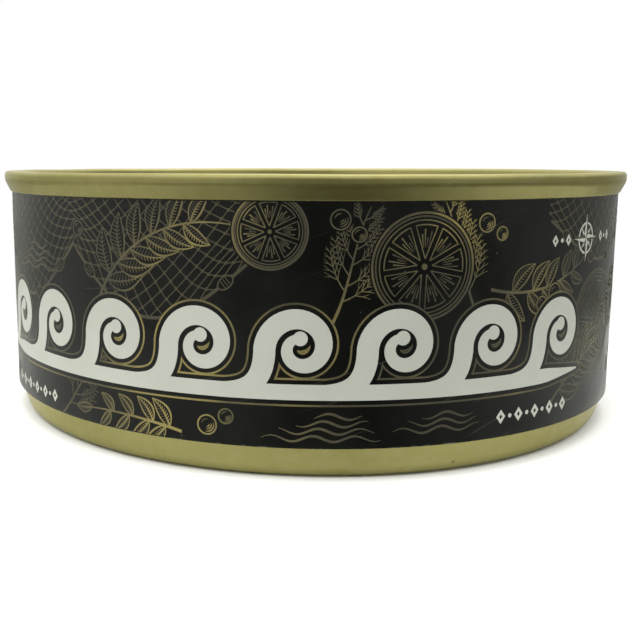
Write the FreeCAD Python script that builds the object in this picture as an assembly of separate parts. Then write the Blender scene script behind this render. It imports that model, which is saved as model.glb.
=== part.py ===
"""Round tin for preserved fish: a drawn body, a lid, the double seam and a wrapped paper label.

Millimetres. +Z is the tin's axis and points up, and the origin is the centre of the circle
that the tin stands on. The body, the lid and the seam are solids of revolution, and they meet
face to face. The shut tin is full, so the body is one solid up to the underside of the lid.
"""

import FreeCAD, Part
import math
import os
from typing import NamedTuple

Vector = FreeCAD.Vector
UP = Vector(0, 0, 1)

# Overall sizes
TIN_HEIGHT = 38.5
WALL_RADIUS = 49.88          # outside of the straight wall
SHEET = 0.25                 # thickness of the lacquered tinplate

# Double seam, which joins the lid to the body
SEAM_HEIGHT = 3.2
SEAM_OVERHANG = 1.27         # how far its widest point stands out from the wall
SEAM_WIDEST_DROP = 1.45      # from the top of the tin down to the widest point
SEAM_LIP_OVERHANG = 0.42     # how far its lower lip stands out from the wall
SEAM_OUTER_ROUND = 1.1
SEAM_INNER_ROUND = 0.7
SEAM_FACE_BLEND = 1.6        # where the face turns in below its widest point
SEAM_LIP_ROUND = 0.3

# Lid inside the seam, from the seam inwards
CHUCK_INSET = 0.68           # from the wall to the chuck wall's top edge
CHUCK_DRAFT = 8.0            # degrees from upright
COUNTERSINK_DEPTH = 4.1      # from the top of the tin to the bottom of the groove
GROOVE_WIDTH = 1.7
GROOVE_ROUND = 0.65
PANEL_RISE = 0.8             # from the bottom of the groove up to the panel
STEP_DRAFT = 40.0            # degrees from upright, on every pressed step
STEP_ROUND = 0.8
LID_BEAD_HEIGHT = 0.45
LID_BEADS = ((11.0, 4.4), (20.5, 3.6))    # inset of the outer edge from the wall, width at the foot
LID_CENTRE_INSET = 30.0      # from the wall to the step round the sunken centre
LID_CENTRE_DROP = 0.4

# Foot of the body, from the wall inwards
BEVEL_HEIGHT = 5.0
BEVEL_INSET = 1.57           # from the wall to where the bevel's line meets the ground
BEVEL_BLEND = 5.0            # where the wall turns into the bevel
FOOT_ROUND = 2.2
FOOT_WIDTH = 3.0             # from the bevel's line to the inner side of the foot
FOOT_INNER_ROUND = 0.9
BASE_RISE = 1.1              # from the ground up to the base panel
BASE_BEAD_HEIGHT = 0.5
BASE_BEADS = ((9.5, 3.8), (18.0, 3.8), (26.5, 3.8))    # inset of the outer edge from the wall, width

# Paper label, wrapped once round the wall, with its ends lapped beside its front face
LABEL_THICKNESS = 0.12
LABEL_BELOW_BEVEL = 0.5      # how far the label reaches below the top of the bevel
LABEL_TOP_GAP = 0.1          # from the label's top edge to the seam's lip
LAP_WIDTH = 9.0
LAP_DIRECTION = 8.0          # degrees from +X to the middle of the lap


class Corner(NamedTuple):
    """One corner of a profile in the XZ half plane, and the radius that rounds it."""

    r: float
    z: float
    round: float = 0.0


def direction(start, end):
    """The unit vector from one corner to another, as an (r, z) pair."""
    length = math.hypot(end.r - start.r, end.z - start.z)
    return (end.r - start.r) / length, (end.z - start.z) / length


def in_plane(r, z):
    """A point or a direction of the XZ half plane as a vector."""
    return Vector(r, 0, z)


def draft_run(height, draft):
    """How far a step that is draft degrees from upright runs sideways over its height."""
    return height * math.tan(math.radians(draft))


def point_at_height(start, end, z):
    """The sharp corner at height z on the line through two corners."""
    share = (z - start.z) / (end.z - start.z)
    return Corner(start.r + share * (end.r - start.r), z)


def rounded_edges(corners):
    """Straight edges through the corners, joined by tangent arcs where a corner is rounded."""
    edges = []
    last = in_plane(corners[0].r, corners[0].z)
    for before, corner, after in zip(corners, corners[1:], corners[2:]):
        way_in = in_plane(*direction(before, corner))
        way_out = in_plane(*direction(corner, after))
        half_turn = way_in.getAngle(way_out) / 2
        point = in_plane(corner.r, corner.z)
        if corner.round == 0:
            edges.append(Part.LineSegment(last, point).toShape())
            last = point
            continue
        setback = corner.round * math.tan(half_turn)
        inwards = (way_out - way_in).normalize()
        middle = point + inwards * (corner.round / math.cos(half_turn) - corner.round)
        arc_start = point - way_in * setback
        arc_end = point + way_out * setback
        edges.append(Part.LineSegment(last, arc_start).toShape())
        edges.append(Part.Arc(arc_start, middle, arc_end).toShape())
        last = arc_end
    edges.append(Part.LineSegment(last, in_plane(corners[-1].r, corners[-1].z)).toShape())
    return edges


def corners_below(corners, distance):
    """The same line of corners, moved to its right hand side by a sheet's thickness.

    A corner that turns left is on the inside of the bend, so its radius grows.
    """
    ways = [direction(start, end) for start, end in zip(corners, corners[1:])]
    first, last = corners[0], corners[-1]
    moved = [Corner(first.r + distance * ways[0][1], first.z - distance * ways[0][0])]
    for corner, way_in, way_out in zip(corners[1:], ways, ways[1:]):
        reach = distance / (1 + way_in[0] * way_out[0] + way_in[1] * way_out[1])
        turn = way_in[0] * way_out[1] - way_in[1] * way_out[0]
        moved.append(Corner(
            corner.r + reach * (way_in[1] + way_out[1]),
            corner.z - reach * (way_in[0] + way_out[0]),
            corner.round + math.copysign(distance, turn),
        ))
    moved.append(Corner(last.r + distance * ways[-1][1], last.z - distance * ways[-1][0]))
    return moved


def bead_corners(beads, panel_z, height):
    """Corners of the raised rings on a panel, listed from the axis outwards."""
    run = draft_run(height, STEP_DRAFT)
    corners = []
    for inset, width in sorted(beads, reverse=True):
        outer = WALL_RADIUS - inset
        inner = outer - width
        corners += [
            Corner(inner, panel_z, STEP_ROUND),
            Corner(inner + run, panel_z + height, STEP_ROUND),
            Corner(outer - run, panel_z + height, STEP_ROUND),
            Corner(outer, panel_z, STEP_ROUND),
        ]
    return corners


def revolved(edges):
    """The solid that a closed loop of edges sweeps round the tin's axis."""
    section = Part.Face(Part.Wire(Part.__sortEdges__(edges)))
    return section.revolve(Vector(0, 0, 0), UP, 360)


def lid_top_corners():
    """The lid's upper surface, from its centre to the top of the chuck wall."""
    groove_z = TIN_HEIGHT - COUNTERSINK_DEPTH
    panel_z = groove_z + PANEL_RISE
    centre_z = panel_z - LID_CENTRE_DROP
    centre_edge = WALL_RADIUS - LID_CENTRE_INSET
    chuck_top = Corner(WALL_RADIUS - CHUCK_INSET, TIN_HEIGHT)
    groove_outer = chuck_top.r - draft_run(COUNTERSINK_DEPTH, CHUCK_DRAFT)
    groove_inner = groove_outer - GROOVE_WIDTH
    return [
        Corner(0, centre_z),
        Corner(centre_edge - draft_run(LID_CENTRE_DROP, STEP_DRAFT), centre_z, STEP_ROUND),
        Corner(centre_edge, panel_z, STEP_ROUND),
        *bead_corners(LID_BEADS, panel_z, LID_BEAD_HEIGHT),
        Corner(groove_inner - draft_run(PANEL_RISE, STEP_DRAFT), panel_z, STEP_ROUND),
        Corner(groove_inner, groove_z, GROOVE_ROUND),
        Corner(groove_outer, groove_z, GROOVE_ROUND),
        chuck_top,
    ]


def seam_foot_z():
    """The level of the seam's lower face, where the body's wall and the lid's sheet enter it."""
    return TIN_HEIGHT - SEAM_HEIGHT


def lid_sheet_corners():
    """The lid's upper surface, from its centre to where the chuck wall enters the seam."""
    top = lid_top_corners()
    return top[:-1] + [point_at_height(top[-2], top[-1], seam_foot_z())]


def lid_underside_corners():
    """The lid's lower surface, from its centre to where the chuck wall enters the seam."""
    under = corners_below(lid_top_corners(), SHEET)
    return under[:-1] + [point_at_height(under[-2], under[-1], seam_foot_z())]


def seam_corners():
    """The outside of the double seam, from the foot of its inner side over the top to the wall."""
    widest = WALL_RADIUS + SEAM_OVERHANG
    return [
        lid_sheet_corners()[-1],
        lid_top_corners()[-1]._replace(round=SEAM_INNER_ROUND),
        Corner(widest, TIN_HEIGHT, SEAM_OUTER_ROUND),
        Corner(widest, TIN_HEIGHT - SEAM_WIDEST_DROP, SEAM_FACE_BLEND),
        Corner(WALL_RADIUS + SEAM_LIP_OVERHANG, seam_foot_z(), SEAM_LIP_ROUND),
        Corner(WALL_RADIUS, seam_foot_z()),
    ]


def foot_corners():
    """The outside of the body, from the seam down the wall and in over the base."""
    bevel_foot = WALL_RADIUS - BEVEL_INSET
    foot_inner = bevel_foot - FOOT_WIDTH
    return [
        Corner(WALL_RADIUS, seam_foot_z()),
        Corner(WALL_RADIUS, BEVEL_HEIGHT, BEVEL_BLEND),
        Corner(bevel_foot, 0, FOOT_ROUND),
        Corner(foot_inner, 0, FOOT_INNER_ROUND),
        Corner(foot_inner - draft_run(BASE_RISE, STEP_DRAFT), BASE_RISE, STEP_ROUND),
        *reversed(bead_corners(BASE_BEADS, BASE_RISE, BASE_BEAD_HEIGHT)),
        Corner(0, BASE_RISE),
    ]


def closed_solid(outline):
    """The solid of revolution whose section is an outline, closed back to its first corner."""
    return revolved(rounded_edges(outline + outline[:1]))


def make_lid():
    """The lid: a pressed sheet, from its centre to the seam."""
    return closed_solid(lid_sheet_corners() + lid_underside_corners()[::-1])


def make_seam():
    """The double seam, whose folded layers are one solid ring on the wall and the lid's sheet."""
    return closed_solid(seam_corners())


def make_body():
    """The filled body, up to the lid's underside and the seam."""
    return closed_solid(lid_underside_corners() + foot_corners())


def make_label():
    """The label: a sleeve round the wall and a second layer where its ends lap."""
    top = seam_foot_z() - LABEL_TOP_GAP
    bottom = BEVEL_HEIGHT - LABEL_BELOW_BEVEL
    height = top - bottom
    foot = Vector(0, 0, bottom)
    outer = WALL_RADIUS + LABEL_THICKNESS
    sleeve = Part.makeCylinder(outer, height, foot).cut(Part.makeCylinder(WALL_RADIUS, height, foot))
    lap_outer = outer + LABEL_THICKNESS
    lap_angle = math.degrees(LAP_WIDTH / lap_outer)
    lap = Part.makeCylinder(lap_outer, height, foot, UP, lap_angle)
    lap = lap.cut(Part.makeCylinder(outer, height, foot))
    lap.rotate(Vector(0, 0, 0), UP, LAP_DIRECTION - lap_angle / 2)
    return sleeve.fuse(lap).removeSplitter().Solids[0]


def main():
    """Build each piece and write it to parts/ under its own name."""
    os.makedirs("parts", exist_ok=True)
    pieces = {
        "can_body": make_body(),
        "lid": make_lid(),
        "seam": make_seam(),
        "label": make_label(),
    }
    for name, shape in pieces.items():
        shape.exportStep(os.path.join("parts", name + ".step"))
        print(name, shape.ShapeType, len(shape.Solids), shape.isValid(), round(shape.Volume, 1))


main()
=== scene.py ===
"""A shut tin of sprats: gold lacquered metal in a black printed paper sleeve.

Sizes are in millimetres unless a name says otherwise, and meshes are written in metres.
Scales of noises and cells are counts per metre.
"""

import logging
import math
from collections.abc import Iterable, Sequence
from dataclasses import dataclass, field
from enum import Enum
from typing import Any, NamedTuple, Protocol

import bpy
import numpy as np
from mathutils import Matrix, Vector
from mathutils.geometry import delaunay_2d_cdt

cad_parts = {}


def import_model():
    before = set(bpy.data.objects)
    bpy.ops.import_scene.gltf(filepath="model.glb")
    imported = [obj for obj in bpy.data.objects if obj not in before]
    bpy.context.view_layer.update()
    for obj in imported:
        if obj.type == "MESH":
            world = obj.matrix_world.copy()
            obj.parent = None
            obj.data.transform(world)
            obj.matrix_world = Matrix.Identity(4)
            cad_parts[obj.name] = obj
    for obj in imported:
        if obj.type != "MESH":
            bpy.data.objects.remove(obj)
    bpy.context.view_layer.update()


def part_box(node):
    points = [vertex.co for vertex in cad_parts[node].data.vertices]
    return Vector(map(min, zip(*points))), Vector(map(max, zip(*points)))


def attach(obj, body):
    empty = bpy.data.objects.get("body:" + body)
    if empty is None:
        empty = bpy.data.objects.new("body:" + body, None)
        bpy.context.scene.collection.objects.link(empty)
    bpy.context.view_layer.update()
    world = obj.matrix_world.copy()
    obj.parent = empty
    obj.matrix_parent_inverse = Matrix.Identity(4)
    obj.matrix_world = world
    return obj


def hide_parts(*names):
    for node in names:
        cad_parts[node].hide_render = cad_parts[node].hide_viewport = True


LOG = logging.getLogger("sprat_tin")
MM = 0.001
BODY = "root"
SHARP_ANGLE = math.radians(40)

Colour = tuple[float, float, float]


# ---------------------------------------------------------------- node trees


class Value:
    """An output of a node, on which Python's own arithmetic adds maths nodes."""

    def __init__(self, wiring: "Wiring", socket: bpy.types.NodeSocket) -> None:
        """Keep the output and the wiring of its tree."""
        self.wiring = wiring
        self.socket = socket

    def __add__(self, other: Any) -> "Value":
        """This value and another."""
        return self.wiring.math("ADD", self, other)

    def __sub__(self, other: Any) -> "Value":
        """This value less another."""
        return self.wiring.math("SUBTRACT", self, other)

    def __rsub__(self, other: float) -> "Value":
        """A number less this value."""
        return self.wiring.math("SUBTRACT", other, self)

    def __mul__(self, other: Any) -> "Value":
        """This value times another."""
        return self.wiring.math("MULTIPLY", self, other)

    def __truediv__(self, other: Any) -> "Value":
        """This value over another."""
        return self.wiring.math("DIVIDE", self, other)


def floats(*names: str) -> dict[str, str]:
    """Sockets for plain numbers, by name."""
    return dict.fromkeys(names, "Float")


def opaque(colour: Any) -> Any:
    """A plain colour with its alpha, or a node's colour as it is."""
    return (*colour, 1) if isinstance(colour, tuple) else colour


class Wiring:
    """A short way to put nodes into a tree and to link them."""

    def __init__(self, tree: bpy.types.NodeTree) -> None:
        """Keep the tree that the nodes go into."""
        self.tree = tree

    def feed(self, socket: bpy.types.NodeSocket, value: Any) -> None:
        """Link an output to an input, or write a plain value on it.

        Args:
            socket: the input.
            value: what goes into it; None leaves it as it is.
        """
        if isinstance(value, Value):
            self.tree.links.new(value.socket, socket)
        elif value is not None:
            socket.default_value = value

    def add(self, kind: str, inputs: dict[int | str, Any] | None = None, **settings: Any) -> bpy.types.Node:
        """Add one node.

        Args:
            kind: the node's type name.
            inputs: values for its inputs, by name or by number.
            settings: the node's own options.

        Returns:
            The new node.
        """
        node = self.tree.nodes.new(kind)
        for name, value in settings.items():
            setattr(node, name, value)
        for key, value in (inputs or {}).items():
            self.feed(node.inputs[key], value)
        return node

    def value(
        self, kind: str, inputs: dict[int | str, Any] | None = None, output: int | str = 0, **settings: Any
    ) -> Value:
        """Add one node, of which a single output is wanted.

        Args:
            kind: the node's type name.
            inputs: values for its inputs, by name or by number.
            output: the name or the number of the output.
            settings: the node's own options.

        Returns:
            That output.
        """
        return Value(self, self.add(kind, inputs, **settings).outputs[output])

    def math(self, operation: str, a: Any, b: Any = None, c: Any = None) -> Value:
        """Add a maths node and return its value."""
        return self.value("ShaderNodeMath", {0: a, 1: b, 2: c}, operation=operation)

    def ramp(self, value: Any, low: Any, high: Any, to_low: Any = 0.0, to_high: Any = 1.0) -> Value:
        """Turn a range of values smoothly into another range."""
        inputs = {0: value, 1: low, 2: high, 3: to_low, 4: to_high}
        return self.value("ShaderNodeMapRange", inputs, interpolation_type="SMOOTHSTEP")

    def mix(self, factor: Any, first: Any, second: Any) -> Value:
        """Mix two colours."""
        inputs = {0: factor, 6: opaque(first), 7: opaque(second)}
        return self.value("ShaderNodeMix", inputs, output=2, data_type="RGBA")

    def combine(self, x: Any, y: Any, z: Any) -> Value:
        """Make a vector of three values."""
        return self.value("ShaderNodeCombineXYZ", {0: x, 1: y, 2: z})

    def separate(self, vector: Value) -> list[Value]:
        """Split a vector into its three values."""
        return [Value(self, s) for s in self.add("ShaderNodeSeparateXYZ", {0: vector}).outputs]

    def noise(self, vector: Any, scale: Any, detail: float = 2.0, roughness: float = 0.5) -> Value:
        """Add a noise texture and return its value."""
        inputs = {"Vector": vector, "Scale": scale, "Detail": detail, "Roughness": roughness}
        return self.value("ShaderNodeTexNoise", inputs)

    def distance(self, x: Value, y: Value) -> Value:
        """The distance of (x, y) from the axis."""
        return self.math("SQRT", self.math("POWER", x, 2.0) + self.math("POWER", y, 2.0))

    def group(self, tree: bpy.types.NodeTree, inputs: dict[str, Any]) -> dict[str, Value]:
        """Add a node group and return its outputs by name."""
        kind = "GeometryNodeGroup" if tree.type == "GEOMETRY" else "ShaderNodeGroup"
        return {s.name: Value(self, s) for s in self.add(kind, inputs, node_tree=tree).outputs}


class Group:
    """A node group with named inputs and outputs."""

    def __init__(self, name: str, kind: str, inputs: dict[str, str], outputs: dict[str, str]) -> None:
        """Make the group and its sockets.

        Args:
            name: the group's name.
            kind: the tree's type, for geometry or for shaders.
            inputs: each input's name and socket type, without the NodeSocket prefix.
            outputs: each output's name and socket type.
        """
        self.tree = bpy.data.node_groups.new(name, kind)
        for in_out, sockets in (("INPUT", inputs), ("OUTPUT", outputs)):
            for label, socket in sockets.items():
                self.tree.interface.new_socket(label, in_out=in_out, socket_type="NodeSocket" + socket)
        self.wiring = Wiring(self.tree)
        self.inputs = {s.name: Value(self.wiring, s) for s in self.wiring.add("NodeGroupInput").outputs}
        self.output_node = self.wiring.add("NodeGroupOutput")

    def finish(self, **values: Any) -> bpy.types.NodeTree:
        """Give the outputs their values.

        Args:
            values: a value for each output, by the output's name.

        Returns:
            The finished tree.
        """
        for label, value in values.items():
            self.wiring.feed(self.output_node.inputs[label], value)
        return self.tree


def plain_mesh(
    name: str, points: Sequence[Sequence[float]], edges: Sequence = (), faces: Sequence = ()
) -> bpy.types.Mesh:
    """Make a mesh of points, edges and faces.

    Args:
        name: the mesh's name.
        points: the places of its points, in metres.
        edges: pairs of points, by number.
        faces: rings of points, by number.

    Returns:
        The mesh.
    """
    mesh = bpy.data.meshes.new(name)
    mesh.from_pydata([tuple(p) for p in points], list(edges), list(faces))
    mesh.update()
    return mesh


def face_outwards(mesh: bpy.types.Mesh) -> None:
    """Turn a closed mesh's faces outwards, by the sign of the volume that they enclose.

    Args:
        mesh: the mesh, which is changed in place.
    """
    mesh.calc_loop_triangles()
    points = np.empty(len(mesh.vertices) * 3)
    mesh.vertices.foreach_get("co", points)
    corners = np.empty(len(mesh.loop_triangles) * 3, dtype=np.int32)
    mesh.loop_triangles.foreach_get("vertices", corners)
    a, b, c = points.reshape(-1, 3)[corners.reshape(-1, 3)].transpose(1, 0, 2)
    if np.einsum("ij,ij->i", a, np.cross(b, c)).sum() < 0:
        mesh.flip_normals()


def grow(
    name: str, tree: bpy.types.NodeTree, sizes: dict[str, Any], start: bpy.types.Mesh | None = None
) -> bpy.types.Object:
    """Run a geometry tree once and keep its result as a plain mesh.

    Args:
        name: the new piece's name.
        tree: the geometry tree.
        sizes: the tree's inputs by name.
        start: the mesh that goes in, if the tree takes one.

    Returns:
        The piece, at the origin, with no modifier left on it.
    """
    piece = bpy.data.objects.new(name, start or bpy.data.meshes.new(name))
    bpy.context.scene.collection.objects.link(piece)
    modifier = piece.modifiers.new("grow", "NODES")
    modifier.node_group = tree
    sockets = {
        item.name: item.identifier
        for item in tree.interface.items_tree
        if item.item_type == "SOCKET" and item.in_out == "INPUT"
    }
    for label, value in sizes.items():
        modifier[sockets[label]] = value
    depsgraph = bpy.context.evaluated_depsgraph_get()
    mesh = bpy.data.meshes.new_from_object(piece.evaluated_get(depsgraph), depsgraph=depsgraph)
    piece.modifiers.clear()
    piece.data = mesh
    mesh.name = name
    mesh.materials.clear()
    mesh.materials.append(sizes["Finish"])
    mesh.polygons.foreach_set("material_index", [0] * len(mesh.polygons))
    face_outwards(mesh)
    mesh.set_sharp_from_angle(angle=SHARP_ANGLE)
    return piece


class Trees:
    """The geometry trees that the pieces are made with."""

    def __init__(self) -> None:
        """Build each tree once."""
        self.surface = self.sleeve_surface()
        self.spin = self.spin_profile()
        self.sheet = self.sleeve_sheet()
        self.film = self.printed_film()

    @staticmethod
    def spin_profile(
        give_scale: float = 75.0, sag_scale: float = 48.0, lid_from: float = 0.9
    ) -> bpy.types.NodeTree:
        """Sweep the points of a profile round the upright axis and close the sweep.

        Args:
            give_scale: the scale of the walls' unevenness.
            sag_scale: the scale of the lid's unevenness.
            lid_from: the share of the lid's level from which points start to sag.

        Returns:
            The tree.
        """
        sockets = {
            "Profile": "Geometry", "Steps": "Int", "Rows": "Int", "Finish": "Material",
            **floats("Wall Radius", "Give", "Sag", "Lid Level"),
        }
        group = Group("spin_profile", "GeometryNodeTree", sockets, {"Geometry": "Geometry"})
        wiring, inputs = group.wiring, group.inputs
        columns = inputs["Steps"] + 1.0
        grid = wiring.value("GeometryNodeMeshGrid", {0: 1.0, 1: 1.0, 2: columns, 3: inputs["Rows"]})
        across, along, _ = wiring.separate(wiring.value("GeometryNodeInputPosition"))
        row = wiring.math("ROUND", (along + 0.5) * (inputs["Rows"] - 1.0))
        sample = wiring.add(
            "GeometryNodeSampleIndex", {"Geometry": inputs["Profile"], "Index": row}, data_type="FLOAT_VECTOR"
        )
        sampled = next(s for s in sample.inputs if s.name == "Value" and s.enabled)
        wiring.feed(sampled, wiring.value("GeometryNodeInputPosition"))
        radius, _, height = wiring.separate(Value(wiring, next(s for s in sample.outputs if s.enabled)))
        angle = (across + 0.5) * math.tau
        sine = wiring.math("SINE", angle)
        cosine = wiring.math("COSINE", angle) * -1.0
        even_point = wiring.combine(radius * sine, radius * cosine, height)
        give = wiring.noise(even_point, give_scale, 1.0) * (inputs["Give"] / inputs["Wall Radius"])
        radius = radius * (1.0 - give)
        on_lid = wiring.ramp(height, inputs["Lid Level"] * lid_from, inputs["Lid Level"])
        height = height - wiring.noise(even_point, sag_scale, 1.0) * inputs["Sag"] * on_lid
        point = wiring.combine(radius * sine, radius * cosine, height)
        swept = wiring.value("GeometryNodeSetPosition", {"Geometry": grid, "Position": point})
        closed = wiring.value("GeometryNodeMergeByDistance", {"Geometry": swept, "Distance": 1e-7})
        return group.finish(Geometry=Trees.dressed(closed, inputs["Finish"]))

    @staticmethod
    def sleeve_surface(ripple_scale: float = 4.2, upright_stretch: float = 2.6) -> bpy.types.NodeTree:
        """Bend a flat point (along, outwards, up) round the wall, with the paper's slight ripple.

        Args:
            ripple_scale: the ripple's scale over a length of one wall radius.
            upright_stretch: how much longer a ripple is upright than round the wall.

        Returns:
            The tree.
        """
        sockets = {"Flat": "Vector", **floats("Wall Radius", "Wrap Radius", "Ripple")}
        group = Group("sleeve_surface", "GeometryNodeTree", sockets, {"Position": "Vector"})
        wiring, inputs = group.wiring, group.inputs
        along, outwards, up = wiring.separate(inputs["Flat"])
        angle = along / inputs["Wrap Radius"]
        sine, cosine = wiring.math("SINE", angle), wiring.math("COSINE", angle)
        on_wall = wiring.combine(sine, cosine, up / (inputs["Wall Radius"] * upright_stretch))
        ripple = wiring.noise(on_wall, ripple_scale, 1.0) * inputs["Ripple"]
        radius = inputs["Wall Radius"] + outwards + ripple
        return group.finish(Position=wiring.combine(radius * sine, radius * (cosine * -1.0), up))

    def bent(self, inputs: dict[str, Value], flat: Value) -> Value:
        """Bend flat geometry round the wall.

        Args:
            inputs: the tree's inputs, with the sizes of the wall.
            flat: the flat geometry.

        Returns:
            The bent geometry.
        """
        wiring = flat.wiring
        position = wiring.value("GeometryNodeInputPosition")
        values = {name: inputs[name] for name in ("Wall Radius", "Wrap Radius", "Ripple")}
        point = wiring.group(self.surface, {"Flat": position, **values})["Position"]
        return wiring.value("GeometryNodeSetPosition", {"Geometry": flat, "Position": point})

    @staticmethod
    def thickened(flat: Value, thickness: Value) -> Value:
        """Give a flat sheet in the plane y = constant a thickness outwards, closed all round.

        Args:
            flat: the sheet.
            thickness: how thick it gets.

        Returns:
            The closed geometry.
        """
        wiring = flat.wiring
        offset = {"Offset": wiring.combine(0.0, thickness, 0.0), "Offset Scale": 1.0}
        extruded = wiring.value("GeometryNodeExtrudeMesh", {"Mesh": flat, **offset, "Individual": False})
        under = wiring.value("GeometryNodeFlipFaces", {0: flat})
        join = wiring.add("GeometryNodeJoinGeometry")
        wiring.feed(join.inputs[0], extruded)
        wiring.feed(join.inputs[0], under)
        joined = Value(wiring, join.outputs[0])
        return wiring.value("GeometryNodeMergeByDistance", {"Geometry": joined, "Distance": 1e-8})

    @staticmethod
    def dressed(geometry: Value, finish: Value) -> Value:
        """Make instances real, shade the faces smooth and give them their finish.

        Args:
            geometry: what is dressed.
            finish: its material.

        Returns:
            The dressed geometry.
        """
        wiring = geometry.wiring
        real = wiring.value("GeometryNodeRealizeInstances", {"Geometry": geometry})
        smooth = wiring.value("GeometryNodeSetShadeSmooth", {"Geometry": real})
        return wiring.value("GeometryNodeSetMaterial", {"Geometry": smooth, "Material": finish})

    def sleeve_sheet(self) -> bpy.types.NodeTree:
        """A strip of paper wrapped once round the wall, whose end rides up over its start.

        Returns:
            The tree.
        """
        sockets = {
            "Columns": "Int", "Rows": "Int", "Finish": "Material",
            **floats("Wall Radius", "Wrap Radius", "Thickness", "Ripple"),
            **floats("Bottom", "Top", "Start", "Lap", "Ramp"),
        }
        group = Group("sleeve_sheet", "GeometryNodeTree", sockets, {"Geometry": "Geometry"})
        wiring, inputs = group.wiring, group.inputs
        round_trip = inputs["Wrap Radius"] * math.tau
        length = round_trip + inputs["Lap"]
        height = inputs["Top"] - inputs["Bottom"]
        counts = {2: inputs["Columns"], 3: inputs["Rows"]}
        grid = wiring.value("GeometryNodeMeshGrid", {0: length, 1: height, **counts})
        x, y, _ = wiring.separate(wiring.value("GeometryNodeInputPosition"))
        along = x + length * 0.5 + inputs["Start"]
        up = y + height * 0.5 + inputs["Bottom"]
        lap_start = inputs["Start"] + round_trip
        ride = wiring.ramp(along, lap_start - inputs["Ramp"], lap_start, 0.0, inputs["Thickness"])
        position = wiring.combine(along, ride, up)
        flat = wiring.value("GeometryNodeSetPosition", {"Geometry": grid, "Position": position})
        solid = self.thickened(flat, inputs["Thickness"])
        return group.finish(Geometry=self.dressed(self.bent(inputs, solid), inputs["Finish"]))

    def printed_film(self) -> bpy.types.NodeTree:
        """Repeat a flat print round the wall, bend it on to the paper and give the ink a thickness.

        Returns:
            The tree.
        """
        sockets = {
            "Print": "Geometry", "Copies": "Int", "Finish": "Material",
            **floats("Wall Radius", "Wrap Radius", "Ripple", "Thickness"),
        }
        group = Group("printed_film", "GeometryNodeTree", sockets, {"Geometry": "Geometry"})
        wiring, inputs = group.wiring, group.inputs
        pitch = wiring.combine(inputs["Wrap Radius"] * math.tau / inputs["Copies"], 0.0, 0.0)
        line = wiring.value("GeometryNodeMeshLine", {"Count": inputs["Copies"], "Offset": pitch})
        solid = self.thickened(inputs["Print"], inputs["Thickness"])
        copies = wiring.value("GeometryNodeInstanceOnPoints", {"Points": line, "Instance": solid})
        real = wiring.value("GeometryNodeRealizeInstances", {"Geometry": copies})
        return group.finish(Geometry=self.dressed(self.bent(inputs, real), inputs["Finish"]))


# ------------------------------------------------------------------ finishes


class Clouds(NamedTuple):
    """Clouds of another colour: scale, strength, and the noise where they start and where they are full."""

    scale: float
    amount: float
    low: float = 0.3
    high: float = 0.7


class Specks(NamedTuple):
    """Specks: the scale of their cells, their radius in a cell and the share of cells that have one."""

    scale: float
    size: float
    share: float


class Scuffs(NamedTuple):
    """Scuffs: the scale of their noise, and the share of it above which there is a scratch."""

    scale: float
    share: float


class Lines(NamedTuple):
    """Spun lines: their scale."""

    lines: float


class Grain(NamedTuple):
    """A noise: its scale, its detail and its roughness."""

    scale: float
    detail: float = 2.0
    roughness: float = 0.5


class Relief(NamedTuple):
    """A bend of the normal: what a height of one is in metres, and the share of the bend that shows."""

    depth: float
    strength: float


PAPER_RELIEF = Relief(0.00006, 0.35)
PAPER_FIBRES = Grain(5200.0, 4.0, 0.65)
PAPER_SWELL = Grain(260.0)
FIBRE_SHARE = 0.25


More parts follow.
